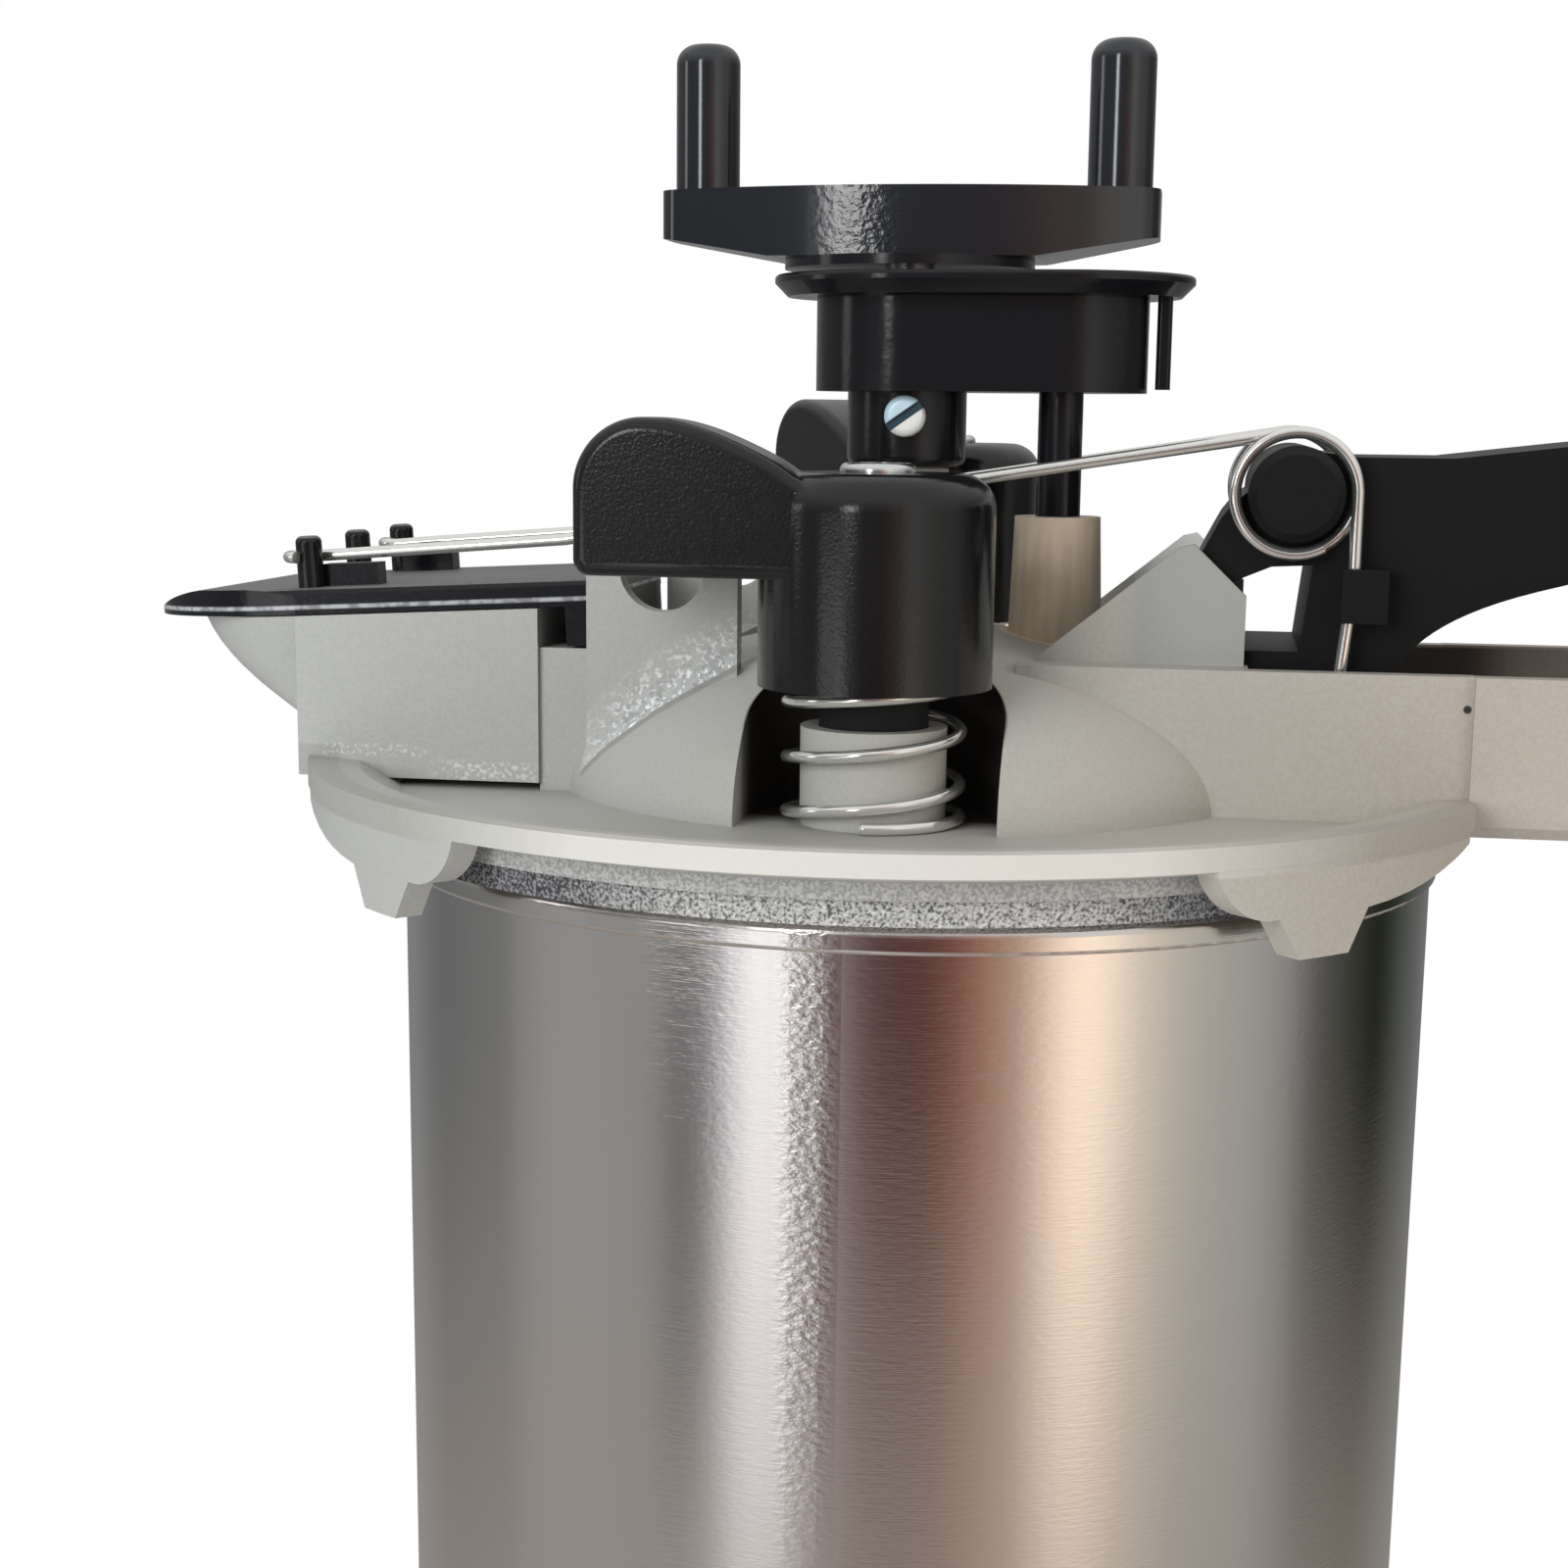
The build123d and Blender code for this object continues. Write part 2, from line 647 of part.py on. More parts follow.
with BuildPart() as thumb_lever:
    with BuildSketch(Plane.XZ):
        with BuildLine():
            Line((pivot_x + pivot_boss, pivot_z), lever_point(0.078, 0.132))
            Spline(lever_point(0.078, 0.132), lever_point(0.115, 0.265), lever_point(0.201, 0.382),
                   lever_point(0.333, 0.468), lever_point(0.611, 0.638), lever_point(0.986, 0.859))
            Polyline(lever_point(0.986, 0.859), lever_point(1.0, 0.955), lever_point(0.965, 1.0),
                     lever_point(0.319, 0.847), lever_point(0.157, 0.806), lever_point(0.032, 0.806),
                     lever_point(-0.014, 0.818), lever_point(-0.083, 0.782), lever_point(-0.106, 0.721),
                     lever_point(-0.136, 0.665), lever_point(-0.149, 0.629), lever_point(-0.172, 0.535),
                     lever_point(-0.192, 0.441), (lever_foot_x, lever_foot_z + 5.0),
                     (lever_foot_x, lever_foot_z), (pivot_x - pivot_boss, lever_foot_z),
                     (pivot_x - pivot_boss, pivot_z))
            ThreePointArc((pivot_x - pivot_boss, pivot_z), (pivot_x, pivot_z - pivot_boss),
                          (pivot_x + pivot_boss, pivot_z))
        make_face()
        with BuildLine():
            Polyline(lever_point(-0.146, 0.247), lever_point(-0.146, 0.412), lever_point(-0.125, 0.450),
                     lever_point(-0.079, 0.491), lever_point(-0.024, 0.497), lever_point(-0.037, 0.247),
                     close=True)
        make_face(mode=Mode.SUBTRACT)
    extrude(amount=lever_half, both=True)
    # trunnions that carry the coils
    with BuildSketch(Plane.XZ):
        with Locations((lever_boss_x, lever_boss_z)):
            Circle(lever_boss_radius)
    extrude(amount=lever_boss_half, both=True)
    trunnion_ends = thumb_lever.edges().filter_by(GeomType.CIRCLE).filter_by(
        lambda e: abs(abs(e.center().Y) - lever_boss_half) < 0.01)
    chamfer(trunnion_ends, length=0.8)
    # keepers over the spring legs
    for side in (-1, 1):
        with BuildSketch(Plane.XY.offset(keeper_low)):
            with Locations((keeper_x + keeper_thick / 2, side * (lever_half + keeper_out - 0.2) / 2)):
                Rectangle(keeper_thick, keeper_out - lever_half + 0.2)
            with Locations((keeper_x + 0.2, side * (keeper_out - keeper_skin / 2))):
                Rectangle(keeper_thick + 2, keeper_skin)
        extrude(amount=keeper_height)
    with BuildSketch(Plane.XZ):
        with Locations((pivot_x, pivot_z)):
            Circle(pivot_radius + run_gap)
        with Locations((leg_end_x, leg_end_z)):
            Circle(wire_radius + press_gap)
    extrude(amount=lever_half + 1, both=True, mode=Mode.SUBTRACT)
save(thumb_lever.part, "thumb_lever")

with BuildPart() as lever_pin:
    with BuildSketch(Plane.XZ.offset(handle_half - pin_blind)):
        with Locations((pivot_x, pivot_z)):
            Circle(pivot_radius)
    extrude(amount=-(2 * handle_half - pin_blind))
save(lever_pin.part, "lever_pin")

# ================================================================ wires
rise_angle = atan2(lever_boss_z - knee_z, lever_boss_x - knee_x)
knee_reach = hypot(lever_boss_x - knee_x, lever_boss_z - knee_z)
arm_angle = rise_angle + asin(turn_radius / knee_reach)
touch_x = lever_boss_x - turn_radius * sin(arm_angle)
touch_z = lever_boss_z + turn_radius * cos(arm_angle)
hook_reach = post_y - arm_half
start_x = post_x + hook_reach * cos(radians(110))
start_y = post_y + hook_reach * sin(radians(110))


def around(angle, y):
    """A point of the wire's turn; the angle runs clockwise from the touch point."""
    return (lever_boss_x - turn_radius * sin(arm_angle - angle), y,
            lever_boss_z + turn_radius * cos(arm_angle - angle))


with BuildPart() as pull_wire:
    with BuildLine() as arm_path:
        ThreePointArc((start_x, start_y, arm_end_z), (post_x - hook_reach, post_y, arm_end_z),
                      (post_x, arm_half, arm_end_z))
        Polyline((post_x, arm_half, arm_end_z), (knee_x, arm_half, knee_z), (touch_x, arm_half, touch_z))
        ThreePointArc(around(0, arm_half), around(radians(80), arm_half), around(radians(160), arm_half))
        ThreePointArc(around(radians(160), arm_half), around(radians(245), arm_half),
                      around(radians(330), arm_half))
    with BuildSketch(Plane(arm_path.wire() @ 0, z_dir=arm_path.wire() % 0)):
        Circle(wire_radius)
    sweep(path=arm_path.wire(), transition=Transition.RIGHT)
    mirror(about=Plane.XZ)
save(pull_wire.part, "pull_wire")

# the spring leaves its turn at the side of the boss and runs down the lever
with BuildPart() as return_springs:
    with BuildLine() as leg_path:
        ThreePointArc(around(radians(-200), leg_half), around(radians(-130), leg_half),
                      around(radians(-60), leg_half))
        ThreePointArc(around(radians(-60), leg_half), around(radians(15), leg_half),
                      (lever_boss_x + turn_radius, leg_half, lever_boss_z))
        Polyline((lever_boss_x + turn_radius, leg_half, lever_boss_z), (leg_x, leg_half, leg_z),
                 (leg_end_x, leg_half, leg_end_z), (leg_end_x, lever_half - 1.6, leg_end_z))
    with BuildSketch(Plane(leg_path.wire() @ 0, z_dir=leg_path.wire() % 0)):
        Circle(wire_radius)
    sweep(path=leg_path.wire(), transition=Transition.RIGHT)
    mirror(about=Plane.XZ)
save(return_springs.part, "return_springs")

# =============================================================== clamps
knob_low = floor_z + barrel_lift
knob_top = knob_low + barrel_height
washer_top = knob_low + recess_depth
foot_top = lip_z - clear_gap
stud_low = foot_top - foot_thick - 1.6
nut_low = knob_top - nut_sink

wing_base = knob_low + wing_low
wing_crest = knob_low + wing_high
wing_foot = knob_top - 0.35 * barrel_round
wing_fall = wing_crest - wing_foot

with BuildPart() as wing:
    with BuildSketch(Plane.XZ.offset(wing_face)):
        with BuildLine():
            Line((0, wing_base), (wing_heel - wing_reach, wing_base))
            ThreePointArc((wing_heel - wing_reach, wing_base),
                          (0.293 * wing_heel - wing_reach, wing_base + 0.293 * wing_heel),
                          (-wing_reach, wing_base + wing_heel))
            Line((-wing_reach, wing_base + wing_heel), (-wing_reach, wing_crest - wing_corner))
            ThreePointArc((-wing_reach, wing_crest - wing_corner),
                          (0.293 * wing_corner - wing_reach, wing_crest - 0.293 * wing_corner),
                          (wing_corner - wing_reach, wing_crest))
            Spline((wing_corner - wing_reach, wing_crest), (-1.5 * barrel_radius, wing_crest - 0.08 * wing_fall),
                   (-1.07 * barrel_radius, wing_crest - 0.36 * wing_fall),
                   (-0.70 * barrel_radius, wing_crest - 0.71 * wing_fall),
                   (-0.35 * barrel_radius, wing_foot), tangents=((1, 0), (1, -0.15)))
            Polyline((-0.35 * barrel_radius, wing_foot), (0, wing_foot), (0, wing_base))
        make_face()
    extrude(amount=-wing_thick)
    wing_sides = wing.faces().filter_by(Axis.Y).edges()
    fillet(wing_sides.filter_by(lambda e: e.center().X < -0.1), radius=wing_edge)

with BuildPart() as knob:
    with BuildSketch(Plane.XY.offset(knob_low)):
        Circle(barrel_radius)
    extrude(amount=barrel_height)
    fillet(knob.edges().group_by(Axis.Z)[-1], radius=barrel_round)
    add(wing.part)
    with BuildSketch(Plane.XY.offset(knob_low)):
        Circle(recess_radius)
    extrude(amount=recess_depth, mode=Mode.SUBTRACT)
    with BuildSketch(Plane.XY.offset(floor_z + boss_height - hub_drop)):
        Circle(hub_radius)
    extrude(amount=washer_top + 1 - floor_z - boss_height + hub_drop)
    with BuildSketch(Plane.XY.offset(floor_z)):
        Circle(stud_radius + press_gap)
    extrude(amount=barrel_lift + barrel_height, mode=Mode.SUBTRACT)
    with BuildSketch(Plane.XY.offset(nut_low)):
        Circle(nut_radius + clear_gap)
    extrude(amount=barrel_height, mode=Mode.SUBTRACT)

with BuildPart() as thrust_washer:
    with BuildSketch(Plane.XY.offset(washer_top - washer_thick)):
        Circle(recess_radius - clear_gap)
        Circle(hub_radius + run_gap, mode=Mode.SUBTRACT)
    extrude(amount=washer_thick - press_gap)

with BuildPart() as dome_nut:
    with BuildSketch(Plane.XY.offset(nut_low + press_gap)):
        Circle(nut_radius)
        Circle(stud_radius + press_gap, mode=Mode.SUBTRACT)
    extrude(amount=nut_height - press_gap)
    nut_edge = dome_nut.edges().filter_by(GeomType.CIRCLE).group_by(Axis.Z)[-1].sort_by(SortBy.RADIUS)[-1]
    fillet(nut_edge, radius=0.7)

with BuildPart() as foot:
    with BuildSketch(Plane.XY.offset(foot_top - foot_thick)):
        with Locations((0, (foot_half - foot_reach) / 2)):
            Rectangle(2 * foot_half, foot_reach - foot_half)
        Circle(foot_half)
        with Locations((0, foot_half - foot_reach)):
            Circle(foot_half)
        Circle(stud_radius + press_gap, mode=Mode.SUBTRACT)
    extrude(amount=foot_thick)


def coil(high):
    """A clamp spring from the lid floor up to this height, with closed end turns."""
    low = floor_z + coil_wire
    closed = 0.9
    total = coil_turns + 2 * closed
    pitch = (high - low - 2 * closed * 2 * coil_wire) / coil_turns
    points = []
    steps = 38
    for index in range(steps + 1):
        turn = total * index / steps
        rise = 2 * coil_wire * min(turn, closed)
        rise += pitch * min(max(turn - closed, 0), coil_turns)
        rise += 2 * coil_wire * max(turn - closed - coil_turns, 0)
        angle = -pi / 2 + 2 * pi * turn
        points.append((coil_radius * cos(angle), coil_radius * sin(angle), low + rise))
    with BuildPart() as made:
        with BuildLine() as path:
            Spline(*points)
        with BuildSketch(Plane(path.line @ 0, z_dir=path.line % 0)):
            Circle(coil_wire)
        sweep(path=path.line)
    return made.part


for name, side, turn, lift in (("front", -1, front_wing_turn, 0), ("rear", 1, rear_wing_turn, rear_lift)):
    spot = Location((dome_x, side * clamp_offset, 0))
    raised = Location((dome_x, side * clamp_offset, lift))
    save(Location((dome_x, side * clamp_offset, lift), (0, 0, turn)) * knob.part, f"{name}_clamp_knob")
    save(raised * thrust_washer.part, f"{name}_clamp_washer")
    save(raised * dome_nut.part, f"{name}_clamp_nut")
    stud_top = nut_low + nut_height - 0.4 + lift
    save(spot * drum(0, 0, stud_radius, stud_low, stud_top), f"{name}_clamp_stud")
    save(spot * coil(washer_top - washer_thick - coil_wire + lift), f"{name}_clamp_spring")
    save(Location((dome_x, side * clamp_offset, 0), (0, 0, 90 + 90 * side)) * foot.part,
         f"{name}_clamp_foot")

# ================================================================ gears
def gear(teeth, x, bore, phase):
    """A spur gear whose straight flanks follow the involute at root and tip."""
    pitch = gear_module * teeth / 2
    base = pitch * cos(radians(20))
    roll = tan(radians(20)) - radians(20)
    points = []
    for tooth in range(teeth):
        middle = phase + 2 * pi * tooth / teeth
        for radius, way in ((pitch - gear_dedendum, -1), (pitch + gear_addendum, -1),
                            (pitch + gear_addendum, 1), (pitch - gear_dedendum, 1)):
            press = acos(min(1, base / radius))
            half = pi / (2 * teeth) - gear_backlash / (4 * pitch) + roll - tan(press) + press
            points.append((x + radius * cos(middle + way * half), radius * sin(middle + way * half)))
    with BuildPart() as made:
        with BuildSketch(Plane.XY.offset(gear_z)):
            with BuildLine():
                Polyline(*points, close=True)
            make_face()
            with Locations((x, 0)):
                Circle(bore + press_gap, mode=Mode.SUBTRACT)
        extrude(amount=gear_thick)
    return made.part


gear_z = housing_low + housing_floor + clear_gap
drive_outer = gear_module * drive_teeth / 2 + gear_addendum
driven_outer = gear_module * driven_teeth / 2 + gear_addendum
save(gear(drive_teeth, drive_x, drive_shaft_radius, 0), "drive_gear")
save(gear(driven_teeth, stirrer_x, stirrer_radius, pi / driven_teeth), "driven_gear")

def oval(left, right, low, height):
    """A plate round both shafts: two discs joined by straight sides."""
    lean = (left - right) / gear_spacing
    rise = sqrt(1 - lean ** 2)
    with BuildPart() as made:
        with BuildSketch(Plane.XY.offset(low)):
            with BuildLine():
                for way in (1, -1):
                    Line((drive_x + left * lean, way * left * rise),
                         (stirrer_x + right * lean, way * right * rise))
                ThreePointArc((drive_x + left * lean, left * rise), (drive_x - left, 0),
                              (drive_x + left * lean, -left * rise))
                ThreePointArc((stirrer_x + right * lean, right * rise), (stirrer_x + right, 0),
                              (stirrer_x + right * lean, -right * rise))
            make_face()
        extrude(amount=height)
    return made.part


drive_room = drive_outer + gear_room
driven_room = driven_outer + gear_room
with BuildPart() as gear_housing:
    with BuildSketch(Plane.XY.offset(housing_low - collar_length)):
        with Locations((drive_x, 0)):
            Circle(collar_radius)
    extrude(amount=collar_length + 0.5)
    fillet(gear_housing.edges().group_by(Axis.Z)[0], radius=collar_round)
    add(oval(drive_room + housing_wall, driven_room + housing_wall, housing_low, cover_z - housing_low))
    add(drum(drive_x, 0, drive_room, housing_low + housing_floor, cover_z + 1), mode=Mode.SUBTRACT)
    add(drum(stirrer_x, 0, driven_room, housing_low + housing_floor, cover_z + 1), mode=Mode.SUBTRACT)
    with BuildSketch(Plane.XY.offset(housing_low - collar_length)):
        with Locations((drive_x, 0)):
            Circle(post_outer + press_gap)
    extrude(amount=collar_length - 0.6 + press_gap, mode=Mode.SUBTRACT)
    with BuildSketch(Plane.XY.offset(housing_low - 1)):
        with Locations((drive_x, 0)):
            Circle(drive_shaft_radius + run_gap)
        with Locations((stirrer_x, 0)):
            Circle(stirrer_radius + run_gap)
    extrude(amount=housing_floor + 2, mode=Mode.SUBTRACT)
    with BuildSketch(Plane.XZ.offset(post_outer)):
        with Locations((screw_x, screw_z)):
            Circle(screw_radius + press_gap)
    extrude(amount=collar_radius, mode=Mode.SUBTRACT)
save(gear_housing.part, "gear_housing")

with BuildPart() as housing_cover:
    add(oval(cover_left, cover_right, cover_z + press_gap, cover_thick - press_gap))
    chamfer(housing_cover.edges().group_by(Axis.Z)[0], length=cover_thick * 0.6)
    fillet(housing_cover.edges().group_by(Axis.Z)[-1], radius=cover_thick * 0.2)
    with BuildSketch(Plane.XY.offset(tab_low)):
        with Locations((tab_x, 0)):
            RectangleRounded(tab_thick, tab_width, tab_thick * 0.3)
    extrude(amount=cover_z + 1.4 - tab_low)
    with BuildSketch(Plane.XY.offset(cover_z - 1)):
        with Locations((drive_x, 0)):
            Circle(drive_shaft_radius + run_gap)
    extrude(amount=cover_thick + 2, mode=Mode.SUBTRACT)
save(housing_cover.part, "housing_cover")

with BuildPart() as housing_clamp_screw:
    with BuildSketch(Plane.XZ.offset(post_outer + slide_gap)):
        with Locations((screw_x, screw_z)):
            Circle(screw_radius)
    extrude(amount=collar_radius - post_outer)
    with BuildSketch(Plane.XZ.offset(collar_radius + press_gap)):
        with Locations((screw_x, screw_z)):
            Circle(screw_head)
    extrude(amount=screw_head_thick)
    head_rim = housing_clamp_screw.edges().filter_by(GeomType.CIRCLE).group_by(Axis.Y)[0]
    fillet(head_rim, radius=screw_head_thick * 0.55)
    with BuildSketch(Plane.XZ.offset(collar_radius + screw_head_thick - 0.5)):
        with Locations(Location((screw_x, screw_z), 35)):
            Rectangle(2 * screw_head + 1, screw_head * 0.42)
    extrude(amount=1, mode=Mode.SUBTRACT)
save(housing_clamp_screw.part, "housing_clamp_screw")

# ======================================================= fork and shafts
with BuildPart() as drive_fork:
    with BuildSketch(Plane.XY.offset(fork_low)):
        with BuildLine():
            for way in (1, -1):
                ThreePointArc((drive_x - fork_reach, way * fork_end_half), (drive_x, way * fork_hub_half),
                              (drive_x + fork_reach, way * fork_end_half))
                Line((drive_x + way * fork_reach, -fork_end_half), (drive_x + way * fork_reach, fork_end_half))
        make_face()
    extrude(amount=fork_top - fork_low)
    fillet(drive_fork.edges().filter_by(Axis.Z), radius=fork_end_half * 0.7)
    with BuildSketch(Plane.XZ):
        with BuildLine():
            Polyline((drive_x - fork_reach - 1, fork_end_low), (drive_x - fork_hub_half - 4, fork_low),
                     (drive_x + fork_hub_half + 4, fork_low), (drive_x + fork_reach + 1, fork_end_low),
                     (drive_x + fork_reach + 1, fork_top), (drive_x - fork_reach - 1, fork_top), close=True)
        make_face()
    extrude(amount=fork_hub_half + 1, both=True, mode=Mode.INTERSECT)
    with BuildSketch(Plane.XY.offset(fork_top - 1)):
        with Locations((drive_x - fork_pin_spread, 0), (drive_x + fork_pin_spread, 0)):
            Circle(fork_pin_radius)
    extrude(amount=fork_pin_top - fork_top + 1)
    pin_tops = drive_fork.edges().filter_by(GeomType.CIRCLE).group_by(Axis.Z)[-1]
    fillet(pin_tops, radius=fork_pin_radius * 0.6)
    with BuildSketch(Plane.XY.offset(fork_low - 1)):
        with Locations((drive_x, 0)):
            Circle(drive_shaft_radius + press_gap)
    extrude(amount=shaft_top - fork_low + 1 + press_gap, mode=Mode.SUBTRACT)
save(drive_fork.part, "drive_fork")

save(ring(fork_washer_radius, drive_shaft_radius + press_gap, fork_low - press_gap - fork_washer_thick,
          fork_washer_thick).move(Location((drive_x, 0, 0))), "fork_washer")
save(drum(drive_x, 0, drive_shaft_radius, shaft_foot, shaft_top), "drive_shaft")
with BuildPart() as stirrer_shaft:
    with BuildSketch(Plane.XY.offset(stirrer_low)):
        with Locations((stirrer_x, 0)):
            Circle(stirrer_radius)
    extrude(amount=gear_z + gear_thick + 0.3 - stirrer_low)
    with BuildSketch(Plane.YZ.offset(stirrer_x)):
        with Locations((0, lower_paddle_z + paddle_height / 2)):
            Circle(pin_radius + press_gap)
    extrude(amount=stirrer_radius * 2, both=True, mode=Mode.SUBTRACT)
    with BuildSketch(Plane.XZ):
        with Locations((stirrer_x, upper_paddle_z + paddle_height / 2)):
            Circle(pin_radius + press_gap)
    extrude(amount=stirrer_radius * 2, both=True, mode=Mode.SUBTRACT)
save(stirrer_shaft.part, "stirrer_shaft")


def paddle(low, start):
    """A hub with two upright blades, each bent back along its outer half."""
    with BuildPart() as made:
        with BuildSketch(Plane.XY.offset(low)):
            Circle(paddle_hub_radius)
            for half in (0, 180):
                with Locations(Location((0, 0), half)):
                    with Locations((paddle_reach * 0.3, 0)):
                        Rectangle(paddle_reach * 0.6, paddle_thick)
                    with BuildLine():
                        Polyline((paddle_reach * 0.58, -paddle_thick / 2), (paddle_reach, -paddle_bend),
                                 (paddle_reach, paddle_thick - paddle_bend), (paddle_reach * 0.58, paddle_thick / 2),
                                 close=True)
                    make_face()
            Circle(stirrer_radius + press_gap, mode=Mode.SUBTRACT)
        extrude(amount=paddle_height)
        with BuildSketch(Plane.XZ):
            with Locations((0, low + paddle_height / 2)):
                Circle(pin_radius + press_gap)
        extrude(amount=paddle_hub_radius * 2, both=True, mode=Mode.SUBTRACT)
    return Location((stirrer_x, 0, 0), (0, 0, start)) * made.part


save(paddle(lower_paddle_z, 90), "lower_paddle")
save(paddle(upper_paddle_z, 0), "upper_paddle")

with BuildPart() as paddle_pins:
    for low, across in ((lower_paddle_z, Plane.YZ.offset(stirrer_x)), (upper_paddle_z, Plane.XZ)):
        with BuildSketch(across):
            with Locations((0 if low == lower_paddle_z else stirrer_x, low + paddle_height / 2)):
                Circle(pin_radius)
        extrude(amount=paddle_hub_radius, both=True)
save(paddle_pins.part, "paddle_pins")
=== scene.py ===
"""Looks of the agitator lid on its round tin: finishes, small modelled detail, studio and camera.

Finishes read places in millimetres in the part's own frame.  Meshes, lamps and the camera are in
metres.
"""
import json
import math

import bmesh
import bpy
import numpy as np
from mathutils import Matrix, Vector


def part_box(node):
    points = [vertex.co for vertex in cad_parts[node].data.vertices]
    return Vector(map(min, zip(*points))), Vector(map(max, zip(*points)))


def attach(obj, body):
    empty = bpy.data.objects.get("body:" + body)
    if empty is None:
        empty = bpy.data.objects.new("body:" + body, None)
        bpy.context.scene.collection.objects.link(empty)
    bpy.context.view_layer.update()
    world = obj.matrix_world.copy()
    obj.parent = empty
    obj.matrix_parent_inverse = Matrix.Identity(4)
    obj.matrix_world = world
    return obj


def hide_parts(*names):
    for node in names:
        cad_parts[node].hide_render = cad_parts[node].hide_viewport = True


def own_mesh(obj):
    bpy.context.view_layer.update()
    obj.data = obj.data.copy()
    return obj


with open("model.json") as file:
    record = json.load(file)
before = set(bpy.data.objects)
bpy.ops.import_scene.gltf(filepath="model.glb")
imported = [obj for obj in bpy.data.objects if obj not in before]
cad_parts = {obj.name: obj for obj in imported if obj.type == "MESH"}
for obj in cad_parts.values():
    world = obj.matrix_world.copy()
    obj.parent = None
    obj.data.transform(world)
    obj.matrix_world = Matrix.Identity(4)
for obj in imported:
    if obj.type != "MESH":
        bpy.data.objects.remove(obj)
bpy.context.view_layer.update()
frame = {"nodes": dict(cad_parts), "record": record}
nodes = frame["nodes"]


# ------------------------------------------------- places on the part, in mm
def middle(node):
    """Middle of a node's box, in millimetres."""
    low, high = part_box(node)
    return [(least + most) * 500 for least, most in zip(low, high)]


clamp_x, clamp_y, _ = middle("rear_clamp_washer")
tower_x = middle("shaft_bush")[0]
screw_x, _, screw_z = middle("housing_clamp_screw")
lid_x = -1.4                           # middle of the round lid, off the tin's axis
rim_radii, rim_heights = (59.5, 64.0), (134.9, 138.6)
seat_radii, seat_heights = (50.0, 58.6), (131.0, 134.2)
ear_x, ear_y = (-31.6, -13.4), (15.0, 30.0)
ear_line = [(-34.0, 134.5), (-31.36, 137.5), (-28.61, 140.08), (-23.44, 143.9), (-18.6, 146.7),
            (-13.98, 149.2), (-12.0, 150.0)]
cheek_heights = (149.2, 175.0)
tower_radius, tower_heights = 5.9, (150.0, 172.0)
pocket_radii, pocket_depth = (7.6, 12.55), 26.5
handle_half = 19.8
trough_x, trough_heights = (35.0, 150.0), (136.0, 148.6)
trough_corner, trough_radius = (134.6, 5.7), 11.3
pit_x, pit_z, pit_radius = 55.1, 145.9, 0.32
knob_foot_z = 146.7
gate_tip_x, gate_slope = -62.7, math.tan(math.radians(3.1))
slot_turn, slot_half = math.radians(35), 0.40

black = (0.0065, 0.0065, 0.008)


# ------------------------------------------------------------ shader maths
def both_ways(operation):
    """The plain and the reflected form of one operator."""
    return (lambda value, other: value.shader.maths(operation, value, other),
            lambda value, other: value.shader.maths(operation, other, value))


class Value:
    """A number, colour or vector in a shader: wraps one socket, and arithmetic adds Math nodes."""

    __add__, __radd__ = both_ways("ADD")
    __sub__, __rsub__ = both_ways("SUBTRACT")
    __mul__, __rmul__ = both_ways("MULTIPLY")
    __truediv__, __rtruediv__ = both_ways("DIVIDE")

    def __init__(self, shader, socket):
        self.shader = shader
        self.socket = socket

    def limited(self, low=0.0, high=1.0):
        """Kept between two numbers."""
        return self.shader.maths("MINIMUM", self.shader.maths("MAXIMUM", self, low), high)

    def ramp(self, stops, kind="EASE"):
        """Colour or grey against this value; stops are (position, colour or number)."""
        return self.shader.node("ShaderNodeValToRGB", {"color_ramp": (kind, stops)}, {0: self})


def fill_ramp(ramp, kind, stops):
    """Gives a colour ramp its stops."""
    ramp.interpolation = kind
    while len(ramp.elements) < len(stops):
        ramp.elements.new(0.5)
    for element, (position, colour) in zip(ramp.elements, stops):
        element.position = position
        grey = isinstance(colour, (int, float))
        element.color = (colour, colour, colour, 1) if grey else (*colour, 1)


class Shader:
    """The node tree of one material or of the world."""

    def __init__(self, tree):
        self.tree = tree

    def feed(self, socket, value):
        """Joins a wrapped socket, or sets a plain value."""
        if isinstance(value, Value):
            self.tree.links.new(value.socket, socket)
        else:
            socket.default_value = value

    def node(self, kind, settings=None, sockets=None, out=0):
        """Any node: its settings, then its sockets by name or number, and one of its outputs."""
        made = self.tree.nodes.new(kind)
        for name, value in (settings or {}).items():
            if name == "color_ramp":
                fill_ramp(made.color_ramp, *value)
            else:
                setattr(made, name, value)
        for name, value in (sockets or {}).items():
            self.feed(made.inputs[name], value)
        return Value(self, made.outputs[out])

    def maths(self, operation, *values):
        """A Math node on numbers and values."""
        return self.node("ShaderNodeMath", {"operation": operation}, dict(enumerate(values)))

    def blend(self, factor, first, second, **settings):
        """Mixes two colours."""
        return self.node("ShaderNodeMix", {"data_type": "RGBA", **settings},
                         {"Factor": factor, "A": first, "B": second}, out=2)

    def axes(self, vector):
        """The three numbers of a vector."""
        first = self.node("ShaderNodeSeparateXYZ", sockets={"Vector": vector})
        return [Value(self, output) for output in first.socket.node.outputs]

    def mix_shaders(self, factor, first, second):
        """Mixes two shaders."""
        return self.node("ShaderNodeMixShader", sockets={0: factor, 1: first, 2: second})


